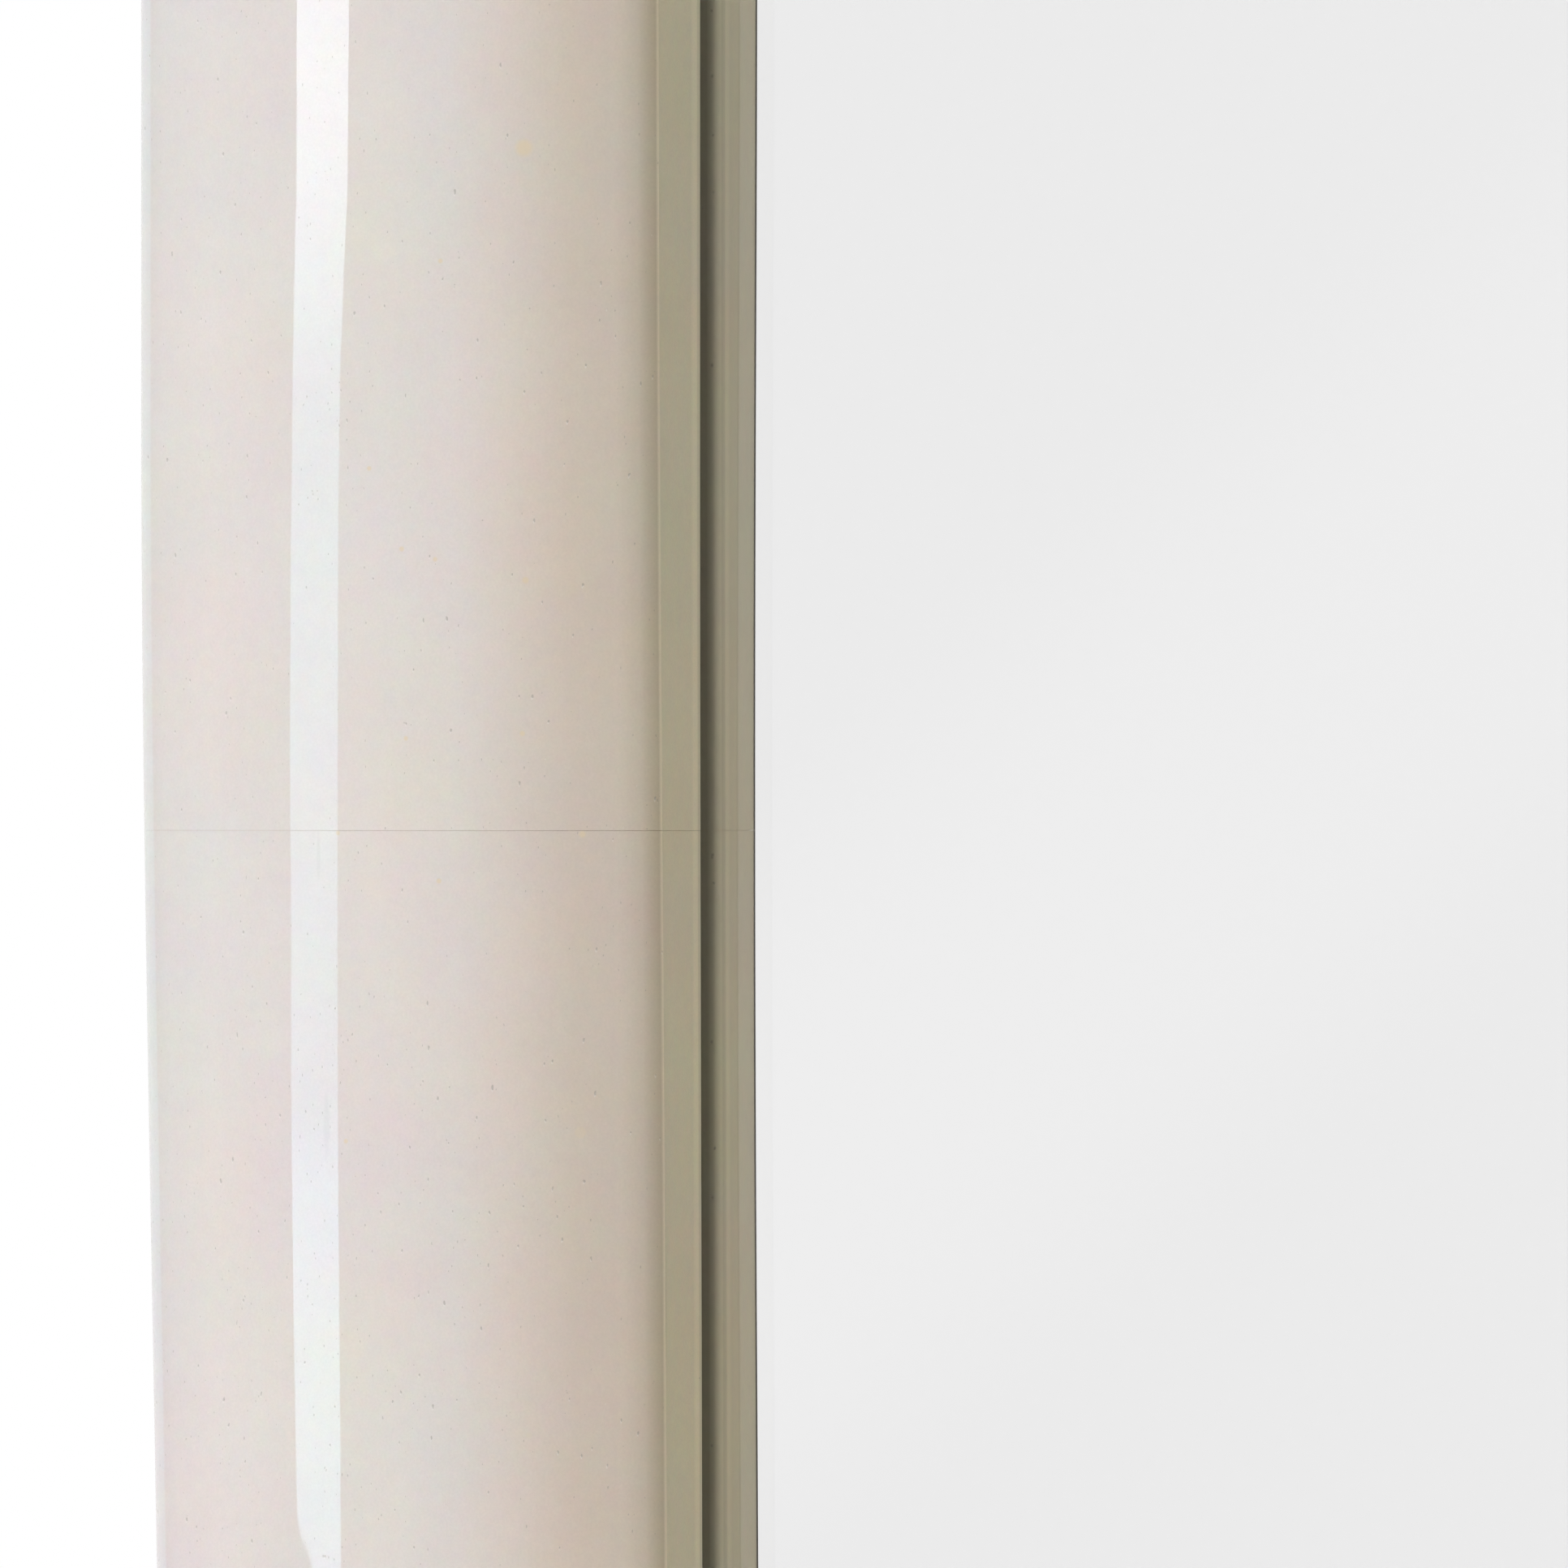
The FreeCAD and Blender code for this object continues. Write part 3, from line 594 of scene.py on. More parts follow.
def glass_material():
    """Clear float glass with its faint green, which lets the light of the mirror out."""
    clear = (0.985, 0.995, 0.988)
    coat = Coat("float_glass", clear, 0.0, IOR=1.52, Transmission_Weight=1.0)
    coat.drive(Base_Color=coat.blended(coat.cloud(coat.point(), 5.0, 3.0), scaled(clear, 0.997),
                                       clear))
    rays = coat.add("ShaderNodeLightPath").outputs
    surface = coat.shader.outputs[0]
    for ray in ("Diffuse Depth", "Is Shadow Ray"):
        through = coat.add("ShaderNodeBsdfTransparent", {"Color": (0.93, 0.96, 0.94, 1)})
        surface = coat.add("ShaderNodeMixShader", {0: rays[ray], 1: surface,
                                                   2: through.outputs[0]}).outputs[0]
    coat.show(surface)
    return coat.material


def silver_material():
    """The silver seen through the glass, with a faint paler diagonal band of painted reflected
    light.
    """
    base = (0.870, 0.860, 0.867)
    coat = Coat("silver", base, 0.0, Metallic=1.0)
    point = coat.point()
    turns = [2 * math.pi / BAND_WIDTH * w for w in BAND_WAY]
    phase = coat.vector("DOT_PRODUCT", coat.vector("SUBTRACT", point, BAND_MIDDLE), turns)
    # The band is paler than the silver round it: a painted reflection.
    reflected_band = coat.times(coat.span(coat.math("COSINE", phase), -0.3, 1.0),
                      coat.span(coat.cloud(point, 3.0, 1.0), 0.2, 0.6, 0.6, 1.0))
    coat.drive(Base_Color=coat.blended(reflected_band, scaled(base, 0.972), base))
    return coat.material


def floor_material(base):
    """A pale floor that fades to white away from the mirror but keeps its shadow."""
    coat = Coat("pale_floor", base, 0.9, Specular_IOR_Level=0.0)
    coat.drive(Base_Color=coat.blended(coat.cloud(coat.point(), 3.0, 3.0), scaled(base, 0.985),
                                       base))
    white = coat.add("ShaderNodeEmission", {"Color": (1, 1, 1, 1), "Strength": 1.0})
    away = coat.vector("LENGTH", coat.vector("MULTIPLY", coat.point(), (1.0, 1.0, 0.0)))
    amount = coat.times(coat.looked_at(), coat.span(away, 0.6, 2.8, 0.5, 1.0))
    coat.show(coat.add("ShaderNodeMixShader", {0: amount, 1: coat.shader.outputs[0],
                                               2: white.outputs[0]}).outputs[0])
    return coat.material


def window_light(middle_z):
    """The light of a tall window, bluer and brighter in its parts."""
    material = bpy.data.materials.new("window_light")
    material.use_nodes = True
    nodes = Nodes(material.node_tree)
    nodes.tree.nodes.clear()
    height = nodes.height()
    rise = nodes.span(height, middle_z + 0.065, middle_z + 0.17)
    tint = nodes.blended(rise, (0.58, 0.83, 1.0), (0.79, 0.90, 1.0))
    level = nodes.plus(nodes.times(rise, 2.9),
                       nodes.span(height, middle_z - 0.1, middle_z - 0.07, 6.0, 4.6))
    glow = nodes.add("ShaderNodeEmission", {"Color": tint, "Strength": level})
    nodes.add("ShaderNodeOutputMaterial", {"Surface": glow.outputs[0]})
    return material


# ---- Meshes

def finished(bm, name, *materials, smooth_angle=30.0):
    """A bmesh made an object with its materials, smooth but for its sharp edges."""
    mesh = bpy.data.meshes.new(name)
    bm.to_mesh(mesh)
    bm.free()
    stale = mesh.attributes.get("custom_normal")    # a copied node's, which its new edges don't fit
    if stale:
        mesh.attributes.remove(stale)
    mesh.polygons.foreach_set("use_smooth", [True] * len(mesh.polygons))
    mesh.set_sharp_from_angle(angle=math.radians(smooth_angle))
    made = bpy.data.objects.new(name, mesh)
    bpy.context.scene.collection.objects.link(made)
    for material in materials:
        mesh.materials.append(material)
    return made


def stands_for(made, node_name, body="mirror"):
    """Put an object in the place of a CAD node, on its body."""
    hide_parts(node_name)
    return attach(made, body)


def refinished(node_name, material):
    """Give a CAD node that is shown as it is another material."""
    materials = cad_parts[node_name].data.materials
    materials.clear()
    materials.append(material)


def face_outward(bm):
    """Turn the faces of a closed mesh outward."""
    bmesh.ops.recalc_face_normals(bm, faces=bm.faces)
    if bm.calc_volume(signed=True) < 0:
        bmesh.ops.reverse_faces(bm, faces=bm.faces)


def copy_of(node_name):
    """A merged copy of a CAD node's mesh, with its flat faces whole."""
    bm = bmesh.new()
    bm.from_mesh(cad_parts[node_name].data)
    bmesh.ops.remove_doubles(bm, verts=bm.verts, dist=0.001 * MM)
    bmesh.ops.dissolve_limit(bm, angle_limit=math.radians(0.5), verts=bm.verts, edges=bm.edges)
    return bm


def eased_edges(bm, edges, ease, segments):
    """Hard edges made round."""
    bmesh.ops.bevel(bm, geom=edges, offset=ease, offset_type="OFFSET", segments=segments,
                    profile=0.5, affect="EDGES", material=-1, clamp_overlap=True)


def cut_at(bm, along, nearness):
    """Cut a member across, at a place along it."""
    bmesh.ops.bisect_plane(bm, geom=bm.verts[:] + bm.edges[:] + bm.faces[:],
                           plane_co=(along, 0, 0), plane_no=(1, 0, 0), dist=nearness)


def softened(node_name, name, material, ease, body="mirror"):
    """A CAD node with its hard edges eased, in its finish, in place of the plain one."""
    bm = copy_of(node_name)
    hard = [e for e in bm.edges if len(e.link_faces) == 2
            and e.calc_face_angle(0.0) > math.radians(25.0)]
    eased_edges(bm, hard, ease, 3)
    face_outward(bm)
    return stands_for(finished(bm, name, material, smooth_angle=40.0), node_name, body)


def trimmed(made, side, limit):
    """A strip's inner edge set back, rounding and all, to a limit across its member."""
    places = [INWARD[side].dot(v.co - CORNERS[side]) for v in made.data.vertices]
    over = max(places) - limit
    for vert, place in zip(made.data.vertices, places):
        if place > limit - 0.5 * MM:
            vert.co -= INWARD[side] * over


def solids_of(node_name):
    """The box of each separate solid in a CAD node."""
    bm = copy_of(node_name)
    left, boxes = set(bm.verts), []
    while left:
        queue = [left.pop()]
        reached = list(queue)
        while queue:
            vert = queue.pop()
            fresh = {edge.other_vert(vert) for edge in vert.link_edges} & left
            left -= fresh
            queue += fresh
            reached += fresh
        boxes.append([Vector([pick(v.co[i] for v in reached) for i in range(3)])
                      for pick in (min, max)])
    bm.free()
    return sorted(boxes, key=lambda box: tuple(box[0]))


def side_matrix(side):
    """From a member's own axes to its place in the frame."""
    axes = Matrix((ALONG[side], INWARD[side], Vector((0, -1, 0)))).transposed()
    return Matrix.Translation(CORNERS[side]) @ axes.to_4x4()


def eased(value, start, end):
    """0 before start and 1 past end, with a smooth step between."""
    t = min(1.0, max(0.0, (value - start) / (end - start)))
    return t * t * (3 - 2 * t)


def worn(side, along, most, rises, falls, share, seeds):
    """How far a mark of the hand finish goes, at most on the left member and a share elsewhere."""
    ends = eased(along, *END_FADE) * eased(LENGTHS[side] - along, *END_FADE)
    if side == LEFT:
        return most * eased(along, *rises) * (1 - eased(along, *falls)) * ends
    place = Vector((along * seeds[0], side * seeds[1], seeds[2]))
    return share * most * (0.5 + 0.5 * noise.noise(place)) * ends


def hand_finish(side, point):
    """A point of a member, in its own axes, moved inward and back as the hand finish left it."""
    section, finish, _ = settings()
    along, u, v = point
    drift = worn(side, along, finish.drift, DRIFT_RISES, DRIFT_FALLS, 0.4, (3.1, 7.3, 0.4))
    sink = worn(side, along, finish.arris_sink, SINK_RISES, SINK_FALLS, 0.5, (2.3, 4.1, 8.4))
    across = 0.30 + 0.70 * (1 - eased(u, 0.0, 0.33 * section.width))
    raised = eased(v, 0.17 * section.depth, 0.74 * section.depth)
    upper = eased(v, 0.47 * section.depth, 0.74 * section.depth)
    sunk = sink * eased(u, 0.55 * section.width, section.width) * upper
    return Vector((along, u + drift * across * raised, v - sunk))


def dipped(place, normal):
    """How the surface dips below true at a place, always inward."""
    slow = noise.noise(Vector((place.x * 14.0, place.y * 14.0, place.z * 9.0)))
    quick = noise.noise(Vector((place.x * 34.0, place.y * 34.0, place.z * 27.0))
                        + Vector((5, 2, 8)))
    return -normal * settings()[1].waviness * (0.55 + 0.4 * slow + 0.12 * quick)


def circle_point(centre, radius, turn):
    """A point of a circle in a member's section, turned inward from the front."""
    return Vector((0, centre[0] + radius * math.sin(turn), centre[1] + radius * math.cos(turn)))


def section_chain(bm, inset, fineness):
    """One skin of the section, from the back of the outer face to under the lip, as edges."""
    section, _, _ = settings()
    start, end, draft = section.roll_start, section.roll_end, section.draft
    reach = section.inner_crown - section.roll
    crest_u = section.width - reach * math.sin(start) - section.roll * math.sin(end)
    roll_centre = (crest_u + reach * math.sin(start),
                   section.depth - section.inner_crown + reach * math.cos(start))
    arris_v = roll_centre[1] + section.roll * math.cos(end)
    lip_v = arris_v - section.wall
    on_skin = inset == 0
    foot_r = section.foot_round if on_skin else section.lip_round
    edge_v = foot_r + (lip_v - section.glass_drop + section.glass_gap if on_skin else lip_v)
    edge_centre = (section.width + ((arris_v - edge_v) * math.sin(draft) - foot_r)
                   / math.cos(draft), edge_v)
    quarter = math.pi / 2
    far = section.outer_crown - section.outer_round
    lean = math.asin((crest_u - section.outer_round) / far)
    outer_centre = (crest_u, section.depth - section.outer_crown)
    inner_centre = (crest_u, section.depth - section.inner_crown)
    round_centre = (section.outer_round, outer_centre[1] + far * math.cos(lean))
    tip = max(section.arris, inset)
    turn = math.asin((section.roll * math.sin(end + draft) - tip) / (section.roll - tip)) - draft
    tip_centre = circle_point(roll_centre, section.roll - tip, turn)
    last = bm.verts.new((0, inset, 0))
    first = last

    def join(place):
        """An edge from the last point to a new one, which is the last one from then on."""
        nonlocal last
        made = bm.verts.new(place)
        bm.edges.new((last, made))
        last = made

    for centre, radius, low, high, steps in (
            (round_centre, section.outer_round, -quarter, -lean, 10),
            (outer_centre, section.outer_crown, -lean, 0.0, 30),
            (inner_centre, section.inner_crown, 0.0, start, 34),
            (roll_centre, section.roll, start, turn, 16),
            ((tip_centre.y, tip_centre.z), section.arris, turn, quarter - draft, 8),
            (edge_centre, foot_r, quarter - draft, math.pi, 12)):
        if radius - inset <= 0:
            continue
        if on_skin and centre == edge_centre:
            join(last.co - Vector((0, section.arris_stands, 0)))
        begin = circle_point(centre, radius - inset, low)
        if (begin - last.co).length > 0.001 * MM:
            join(begin)
        spun = bmesh.ops.spin(bm, geom=[last], cent=(0, *centre), axis=(-1, 0, 0),
                              angle=high - low, steps=max(2, int(steps * fineness)),
                              use_duplicate=False)
        last = next(g for g in spun["geom_last"] if isinstance(g, bmesh.types.BMVert))
    if on_skin:
        for v in (last.co.z, lip_v):
            join((0, section.width - section.foot_width, v))
    join((0, section.width - section.lip_round - section.wrap, lip_v + inset))
    return first, last


def rounded_corner(place):
    """A place on the frame drawn in to its rounded upright corners."""
    r = settings()[0].corner_round
    x = min(max(place.x, outer_low.x + r), outer_high.x - r)
    z = min(max(place.z, outer_low.z + r), outer_high.z - r)
    off = Vector((place.x - x, 0, place.z - z))
    if off.x == 0 or off.z == 0 or off.length <= r:
        return place
    off *= r / off.length
    return Vector((x + off.x, place.y, z + off.z))


def facing(side, start, stop, name, node_name, materials):
    """One facing, between two places along a member. None stands for the mitre at that end."""
    section, _, _ = settings()
    total = LENGTHS[side]
    bm = bmesh.new()
    outer_ends = section_chain(bm, 0.0, 1.0)
    inner_ends = section_chain(bm, section.skin, 0.4)
    for ends in zip(outer_ends, inner_ends):
        bm.edges.new(ends)
    face = bmesh.ops.contextual_create(bm, geom=bm.edges[:])["faces"][0]
    near = list(face.verts)
    extruded = bmesh.ops.extrude_face_region(bm, geom=[face])["geom"]
    far = [g for g in extruded if isinstance(g, bmesh.types.BMVert)]
    for vert in near:
        vert.co.x = vert.co.y if start is None else start
    for vert in far:
        vert.co.x = total - vert.co.y if stop is None else stop
    face_outward(bm)
    eased_edges(bm, [e for f in bm.faces if len(f.verts) > 4 for e in f.edges],
                section.joint_ease, 1)
    reach = abs((total if stop is None else stop) - (start or 0.0))
    long_edges = [e for e in bm.edges if e.calc_length() > reach / 2]
    bmesh.ops.subdivide_edges(bm, edges=long_edges, cuts=int(reach / 0.008),
                              use_grid_fill=False)
    for end, corner in ((start, 0.0), (stop, total)):
        if end is None:
            for step in (0.3, 0.7, 1.2, 1.8, 2.4, 3.0):     # the rounding of the frame's corner
                cut_at(bm, abs(corner - step * MM), 1e-7)
    edge_v = section.depth - section.wall
    bm.normal_update()
    matrix = side_matrix(side)
    inward, forward = (bm.verts.layers.float.new(name) for name in ("inward", "forward"))
    for vert in bm.verts:
        vert[inward], vert[forward] = vert.co.y, vert.co.z
    for f in bm.faces:
        middle = f.calc_center_median()
        at_wall = middle.y > section.width * 0.9
        on_wall = at_wall and (f.normal.y > math.sin(math.radians(70)) or middle.z < edge_v * 0.75)
        ledge = f.normal.z < -0.5 and middle.z > edge_v
        f.material_index = 2 if ledge else 1 if on_wall else 0      # dark ledge, matt and gloss
    moved = {v: matrix @ hand_finish(side, v.co)
             + dipped(matrix @ v.co, matrix.to_3x3() @ v.normal) for v in bm.verts}
    for vert, place in moved.items():
        vert.co = rounded_corner(place)
    return stands_for(finished(bm, name, *materials, smooth_angle=24.0), node_name)


def core(side, node_name, name, material):
    """The timber of one member, worked to follow its facing."""
    bm = copy_of(node_name)
    matrix = side_matrix(side)
    bmesh.ops.transform(bm, matrix=matrix.inverted(), verts=bm.verts)
    steps = int(LENGTHS[side] / 0.04)
    for n in range(3, steps - 2):
        cut_at(bm, n * LENGTHS[side] / steps, 1e-6)
    for vert in bm.verts:
        vert.co = matrix @ hand_finish(side, vert.co)
    face_outward(bm)
    return stands_for(finished(bm, name, material, smooth_angle=20.0), node_name)


def screw(bm, place, turn, height, depth, head_r, shank_r):
    """A pan headed cross recessed screw, its head towards +Y, added to a bmesh.

    The place is the middle of its head's front, the height the head's and the depth the shank's.
    """
    fresh = bmesh.new()
    flat_r = head_r * 0.62
    bmesh.ops.create_circle(fresh, cap_ends=False, segments=32, radius=flat_r)
    rim = fresh.edges[:]
    arm, half = head_r * 0.47, head_r * 0.13
    outline = []
    for quarter in range(4):
        spin = Matrix.Rotation(-quarter * math.pi / 2, 4, "Z")
        outline += [fresh.verts.new(spin @ Vector((x, y, 0)))
                    for x, y in ((half, arm), (half, half), (arm, half))]
    cross = [fresh.edges.new((a, b)) for a, b in zip(outline, outline[1:] + outline[:1])]
    bmesh.ops.triangle_fill(fresh, use_beauty=True, use_dissolve=False, edges=rim + cross)

    def drawn(edges, drop, scale):
        """Edges drawn down and scaled about the screw's axis. It gives the new ones."""
        made = bmesh.ops.extrude_edge_only(fresh, edges=edges)["geom"]
        verts = [g for g in made if isinstance(g, bmesh.types.BMVert)]
        bmesh.ops.scale(fresh, vec=(scale, scale, 1), verts=verts)
        bmesh.ops.translate(fresh, vec=(0, 0, -drop), verts=verts)
        return [g for g in made if isinstance(g, bmesh.types.BMEdge)]

    bmesh.ops.contextual_create(fresh, geom=drawn(cross, height * 0.55, 0.62))
    shape = [(head_r * (0.62 + 0.38 * math.sin(a)), height * 0.62 * (1 - math.cos(a)))
             for a in (math.radians(d) for d in (20, 40, 58, 74, 90))]
    shape += [(head_r, height * 0.9), (head_r * 0.96, height), (shank_r, height),
              (shank_r, height + depth * 0.3), (shank_r * 0.86, height + depth * 0.34),
              (shank_r * 0.86, height + depth * 0.85), (shank_r * 0.15, height + depth)]
    radius, level, edges = flat_r, 0.0, rim
    for next_radius, next_level in shape:
        edges = drawn(edges, next_level - level, next_radius / radius)
        radius, level = next_radius, next_level
    bmesh.ops.contextual_create(fresh, geom=edges)
    face_outward(fresh)
    to_back = Matrix.Rotation(math.radians(-90), 4, "X") @ Matrix.Rotation(turn, 4, "Z")
    bmesh.ops.transform(fresh, verts=fresh.verts, matrix=Matrix.Translation(place) @ to_back)
    mesh = bpy.data.meshes.new("screw_blank")
    fresh.to_mesh(mesh)
    fresh.free()
    bm.from_mesh(mesh)
    bpy.data.meshes.remove(mesh)


def screw_set(node_name, name, material, head_height, head_r, shank_r):
    """All the screws of one CAD node, each turned its own way."""
    bm = bmesh.new()
    for n, (low, high) in enumerate(solids_of(node_name)):
        middle = (low + high) / 2
        screw(bm, (middle.x, high.y, middle.z), 0.7 * n + 0.3, head_height,
              high.y - head_height - low.y, head_r, shank_r)
    return stands_for(finished(bm, name, material, smooth_angle=35.0), node_name)


# ---- Stage

def turned(turn):
    """The ways to the right and outward for someone who looks at the front from a turn."""
    return (Vector((math.cos(turn), math.sin(turn), 0)),
            Vector((math.sin(turn), -math.cos(turn), 0)))


def area_lamp(name, place, aim, size, watts, tint):
    """A soft lamp that no mirror or gloss shows."""
    light = bpy.data.lights.new(name, "AREA")
    light.shape = "RECTANGLE"
    light.size, light.size_y = size
    light.energy, light.color = watts, tint
    lamp = bpy.data.objects.new(name, light)
    bpy.context.scene.collection.objects.link(lamp)
    lamp.location = place
    lamp.rotation_euler = (aim - place).to_track_quat("-Z", "Y").to_euler()
    lamp.visible_camera = lamp.visible_glossy = lamp.visible_transmission = False


def window_strip(centre, middle_z):
    """A tall bright opening that only the gloss of the frame shows."""
    bm = bmesh.new()
    right, out = turned(WINDOW_TURN)
    base = Vector((centre.x, centre.y, 0)) + out * WINDOW_DISTANCE
    rails = []
    for height, left, far in WINDOW_EDGES:
        ends = [bm.verts.new(base + right * WINDOW_WIDTH * (s - 0.5)
                             + Vector((0, 0, middle_z + height))) for s in (left, far)]
        rails.append(bm.edges.new(ends))
    for low, high in zip(rails, rails[1:]):
        bmesh.ops.bridge_loops(bm, edges=[low, high])
    strip = finished(bm, "window_strip", window_light(middle_z))
    strip.visible_camera = strip.visible_diffuse = strip.visible_transmission = False
    strip.visible_shadow = False


def white_world(ambient):
    """White where the camera, gloss and glass look, and a plain warm light elsewhere."""
    world = bpy.data.worlds.new("studio")
    bpy.context.scene.world = world
    world.use_nodes = True
    nodes = Nodes(world.node_tree)
    nodes.tree.nodes.clear()
    tint = nodes.blended(nodes.looked_at(), ambient, (1, 1, 1))
    glow = nodes.add("ShaderNodeBackground", {"Color": tint, "Strength": 1.0})
    nodes.add("ShaderNodeOutputWorld", {"Surface": glow.outputs[0]})


# ---- Operators

class MIRROR_OT_facings(bpy.types.Operator):
    """Add the six lacquered facings of the frame."""
    bl_idname = "mirror.facings"
    bl_label = "Facings"

    def execute(self, context):
        materials = (lacquer_material(), wall_material(), ledge_dark_material())
        down = CORNERS[LEFT].z - joint_z
        up = LENGTHS[RIGHT] - down
        for side, start, stop, half in (
                (BOTTOM, None, None, ""), (TOP, None, None, ""), (LEFT, None, down, "_upper"),
                (LEFT, down, None, "_lower"), (RIGHT, None, up, "_lower"),
                (RIGHT, up, None, "_upper")):
            facing(side, start, stop, "facing_" + SIDE_NAMES[side] + half,
                   SIDE_NAMES[side] + "_facing" + half, materials)
        return {"FINISHED"}


class MIRROR_OT_cores(bpy.types.Operator):
    """Add the four timbers under the facings, and the splines across their mitres."""
    bl_idname = "mirror.cores"
    bl_label = "Timber Cores"

    def execute(self, context):
        stile, rail = timber_material("timber_stile", "Z"), timber_material("timber_rail", "X")
        core(BOTTOM, "bottom_rail_core", "core_bottom", rail)
        core(TOP, "top_rail_core", "core_top", rail)
        core(LEFT, "left_stile_core", "core_left", stile)
        core(RIGHT, "right_stile_core", "core_right", stile)
        plywood = ply_material()
        for corner in CORNER_NAMES:
            refinished("mitre_spline_" + corner, plywood)
        return {"FINISHED"}


class MIRROR_OT_pane(bpy.types.Operator):
    """Give the glass its finish and add the silver behind it."""
    bl_idname = "mirror.pane"
    bl_label = "Glass and Silver"

    def execute(self, context):
        refinished("mirror_glass", glass_material())
        low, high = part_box("silver_coat")
        bm = bmesh.new()
        bmesh.ops.create_cube(bm, size=1.0)
        front = low.y - 0.02 * MM
        size = Vector((high.x - low.x - 0.2 * MM, high.y - front, high.z - low.z - 0.2 * MM))
        bmesh.ops.scale(bm, vec=size, verts=bm.verts)
        bmesh.ops.translate(bm, vec=((low.x + high.x) / 2, (front + high.y) / 2,
                                     (low.z + high.z) / 2), verts=bm.verts)
        for face in bm.faces:
            face.material_index = 0 if face.normal.y < -0.5 else 1
        coat = finished(bm, "silver_and_paint", silver_material(), back_paint_material())
        stands_for(coat, "silver_coat")
        return {"FINISHED"}


class MIRROR_OT_packing(bpy.types.Operator):
    """Add the felt, the foam sheet, the blocks round the glass and the backing board."""
    bl_idname = "mirror.packing"
    bl_label = "Packing and Board"

    def execute(self, context):
        section, _, _ = settings()
        felt, foam = felt_material(), foam_material()
        rubber = rubber_material("packing_rubber", (0.035, 0.035, 0.036))
        for side, name in enumerate(SIDE_NAMES):
            strip = softened(name + "_felt", "felt_" + name, felt, 0.3 * MM)
            trimmed(strip, side, section.width - section.foot_width - 0.05 * MM)
        sheet = softened("foam_sheet", "foam_behind_glass", foam, 1.2 * MM)
        for block in BLOCKS:
            softened(block, "rubber_" + block, rubber, 0.4 * MM)
        softened("backing_board", "board_behind_foam", board_material(), 0.5 * MM)
        return {"FINISHED"}


class MIRROR_OT_corner_plates(bpy.types.Operator):
    """Add the four corner plates."""
    bl_idname = "mirror.corner_plates"
    bl_label = "Corner Plates"

    def execute(self, context):
        zinc = metal_material("zinc_plate", (0.60, 0.61, 0.60), 0.34, (0.6, 1.0, 0.6), 0.01 * MM,
                              0.45)
        for corner in CORNER_NAMES:
            softened("corner_plate_" + corner, "plate_" + corner, zinc, 0.25 * MM)
        return {"FINISHED"}


class MIRROR_OT_turn_buttons(bpy.types.Operator):
    """Add the eight turn buttons."""
    bl_idname = "mirror.turn_buttons"
    bl_label = "Turn Buttons"

    def execute(self, context):
        nickel = metal_material("nickel_plate", (0.64, 0.62, 0.58), 0.22, (0.5, 1.0, 1.0),
                                0.006 * MM)
        for button in BUTTONS:
            softened("turn_button_" + button, "button_" + button, nickel, 0.25 * MM,
                     "button_" + button)
        return {"FINISHED"}


class MIRROR_OT_screws(bpy.types.Operator):
    """Add the screws of the plates, the buttons and the cleat."""
    bl_idname = "mirror.screws"
    bl_label = "Screws"

    def execute(self, context):
        steel = metal_material("screw_steel", (0.63, 0.60, 0.52), 0.28, (1.0, 0.4, 1.0),
                               0.005 * MM, 0.35)
        screw_set("corner_plate_screws", "plate_screws", steel, 1.6 * MM, 3.4 * MM, 1.75 * MM)
        screw_set("turn_button_screws", "button_screws", steel, 2.0 * MM, 3.6 * MM, 1.9 * MM)
        screw_set("frame_cleat_screws", "cleat_screws", steel, 2.0 * MM, 4.2 * MM, 2.2 * MM)
        return {"FINISHED"}


class MIRROR_OT_hanging_bars(bpy.types.Operator):
    """Add the bar on the wall and the cleat that hooks on it."""
    bl_idname = "mirror.hanging_bars"
    bl_label = "Hanging Bars"

    def execute(self, context):
        metal = metal_material("mill_aluminium", (0.71, 0.72, 0.73), 0.30, (0.02, 1.0, 1.0),
                               0.012 * MM, 0.15)
        softened("wall_bar", "bar_on_wall", metal, 0.12 * MM, "wall_bar")
        softened("frame_cleat", "cleat_on_frame", metal, 0.12 * MM)
        return {"FINISHED"}


class MIRROR_OT_buffers(bpy.types.Operator):
    """Add the two pads that rest on the wall."""
    bl_idname = "mirror.buffers"
    bl_label = "Wall Buffers"

    def execute(self, context):
        grey = rubber_material("buffer_rubber", (0.32, 0.32, 0.31), 0.6)
        for side in ("left", "right"):
            softened("wall_buffer_" + side, "buffer_" + side, grey, 0.6 * MM)
        return {"FINISHED"}


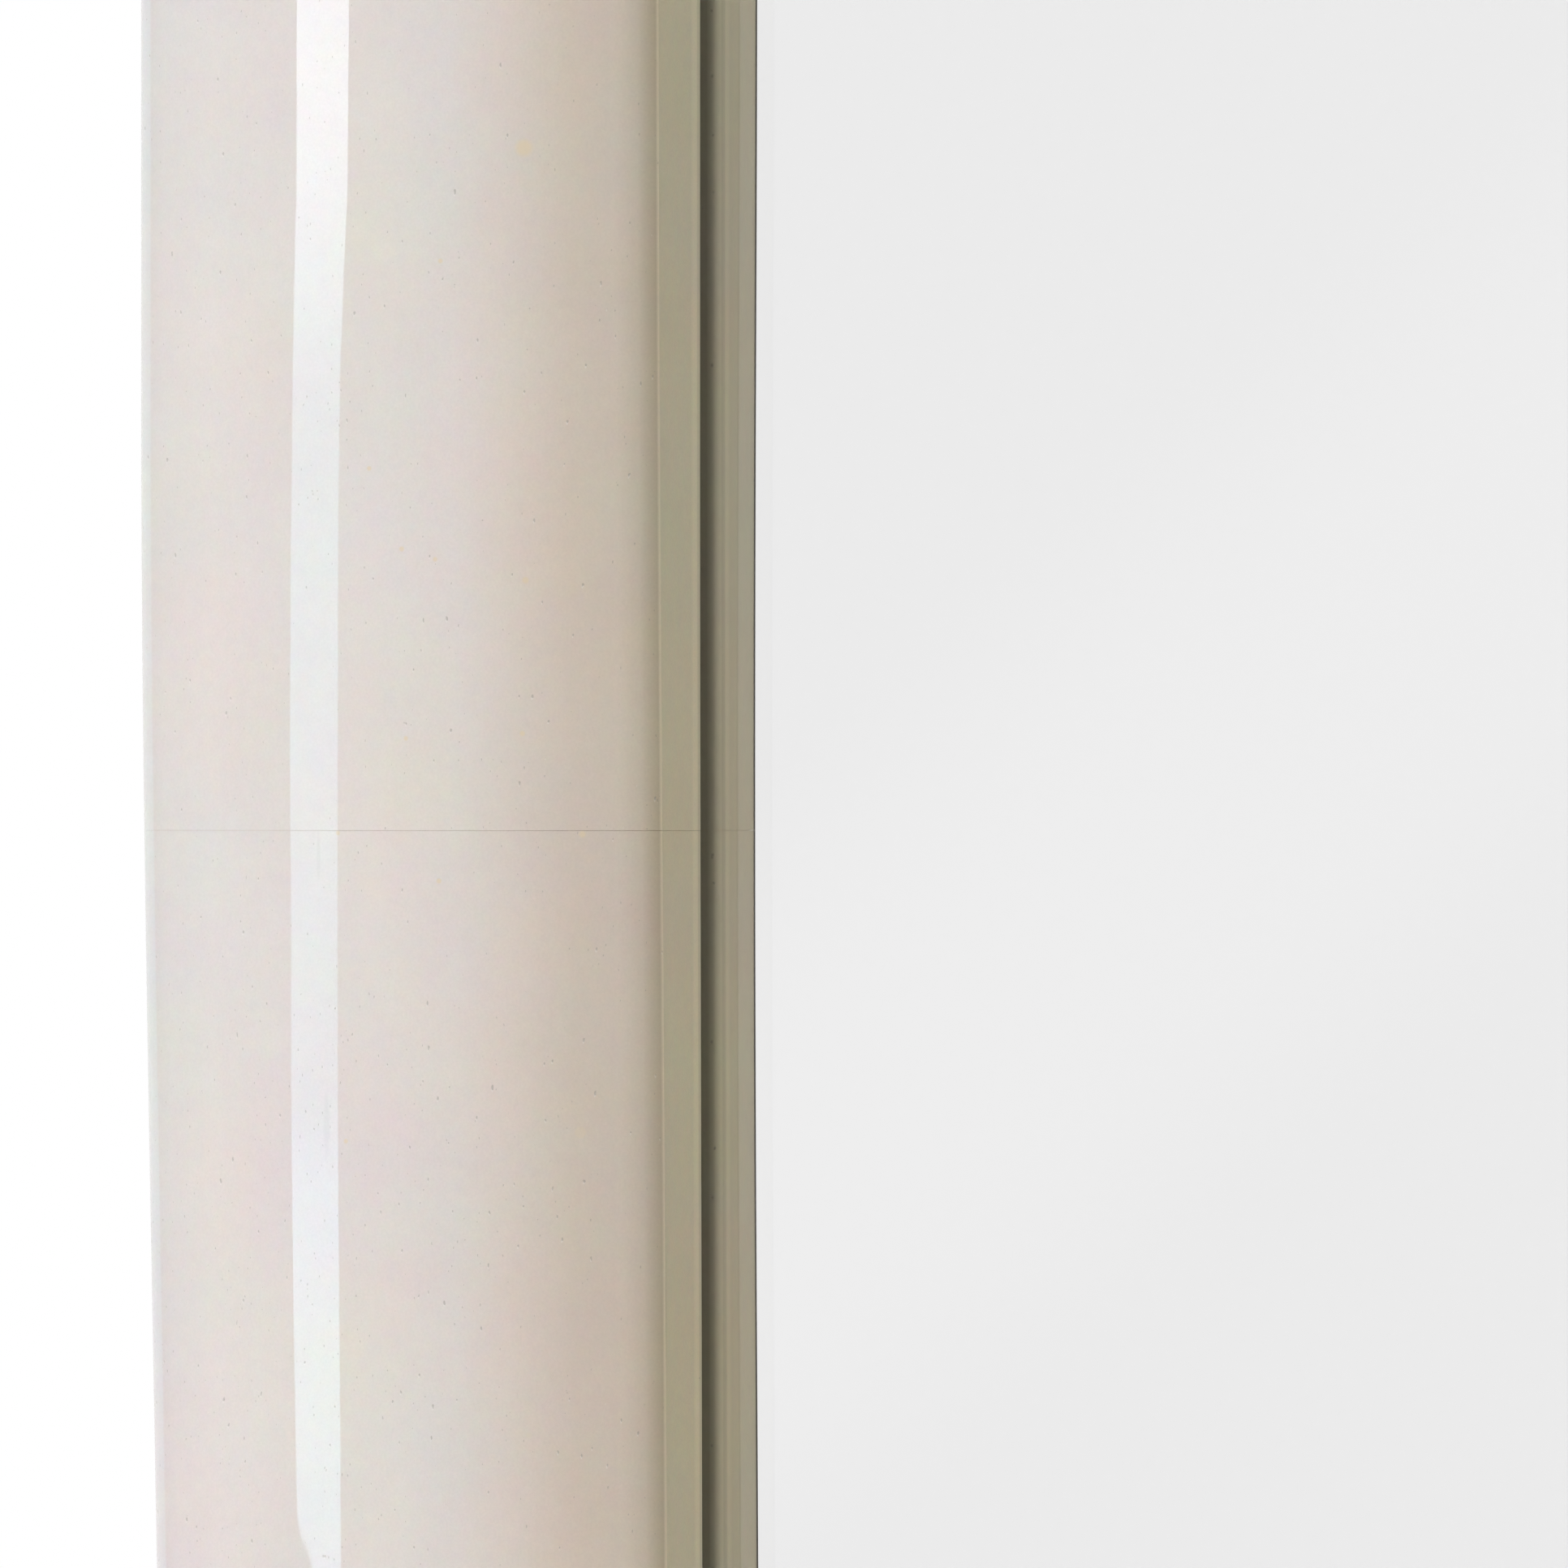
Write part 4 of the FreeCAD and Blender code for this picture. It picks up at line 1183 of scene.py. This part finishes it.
class MIRROR_OT_stage(bpy.types.Operator):
    """Add the floor, the lamps, the window strip, the world and the camera."""
    bl_idname = "mirror.stage"
    bl_label = "Stage"

    def execute(self, context):
        section, _, stage = settings()
        scene = context.scene
        scene.view_settings.view_transform = "Standard"
        bm = bmesh.new()
        bmesh.ops.create_grid(bm, x_segments=8, y_segments=8, size=4.0)
        bmesh.ops.translate(bm, vec=(0, -0.6, cad_box[0][2] - stage.floor_gap), verts=bm.verts)
        finished(bm, "floor", floor_material(stage.floor))
        white_world(stage.ambient)

        arris = Vector((outer_low.x + section.width, back_y - ARRIS_FORWARD, joint_z))
        right, out = turned(stage.camera_turn)
        aim = arris + right * stage.view_aside + Vector((0, 0, stage.view_height))
        data = bpy.data.cameras.new("camera")
        data.lens = data.sensor_width * stage.camera_distance / stage.view_width
        data.clip_start = 0.01
        camera = bpy.data.objects.new("camera", data)
        scene.collection.objects.link(camera)
        camera.location = aim + out * stage.camera_distance
        camera.rotation_euler = (-out).to_track_quat("-Z", "Y").to_euler()
        scene.camera = camera

        middle = (Vector(cad_box[0]) + Vector(cad_box[1])) / 2
        key = middle + turned(KEY_TURN)[1] * KEY_DISTANCE + Vector((0, 0, KEY_RISE))
        area_lamp("key_lamp", key, middle, KEY_SIZE, stage.key_power, KEY_COLOUR)
        area_lamp("back_lamp", middle + Vector(BACK_PLACE), middle, BACK_SIZE, stage.back_power,
                  BACK_COLOUR)
        window_strip(Vector((outer_low.x + CREST_INWARD, outer_low.y, 0)), aim.z)
        return {"FINISHED"}


class MIRROR_PT_panel(bpy.types.Panel):
    """The sizes, the colours and the pieces of the mirror."""
    bl_idname = "MIRROR_PT_panel"
    bl_label = "Full Length Mirror"
    bl_space_type = "VIEW_3D"
    bl_region_type = "UI"
    bl_category = "Mirror"

    def draw(self, context):
        layout = self.layout
        for group in settings():
            box = layout.box()
            for name in group.__annotations__:
                box.prop(group, name)
        for operator in OPERATORS:
            layout.operator(operator.bl_idname)


OPERATORS = (MIRROR_OT_facings, MIRROR_OT_cores, MIRROR_OT_pane, MIRROR_OT_packing,
             MIRROR_OT_corner_plates, MIRROR_OT_turn_buttons, MIRROR_OT_screws,
             MIRROR_OT_hanging_bars, MIRROR_OT_buffers, MIRROR_OT_stage)
GROUPS = {"mirror_section": MIRROR_PG_section, "mirror_finish": MIRROR_PG_finish,
          "mirror_stage": MIRROR_PG_stage}


def register():
    for group in GROUPS.values():
        bpy.utils.register_class(group)
    for name, group in GROUPS.items():
        setattr(bpy.types.Scene, name, bpy.props.PointerProperty(type=group))
    for operator in OPERATORS:
        bpy.utils.register_class(operator)
    bpy.utils.register_class(MIRROR_PT_panel)


def unregister():
    bpy.utils.unregister_class(MIRROR_PT_panel)
    for operator in reversed(OPERATORS):
        bpy.utils.unregister_class(operator)
    for name, group in GROUPS.items():
        delattr(bpy.types.Scene, name)
        bpy.utils.unregister_class(group)


def main():
    register()
    for operator in OPERATORS:
        group, name = operator.bl_idname.split(".")
        getattr(getattr(bpy.ops, group), name)()


if __name__ == "__main__":
    main()
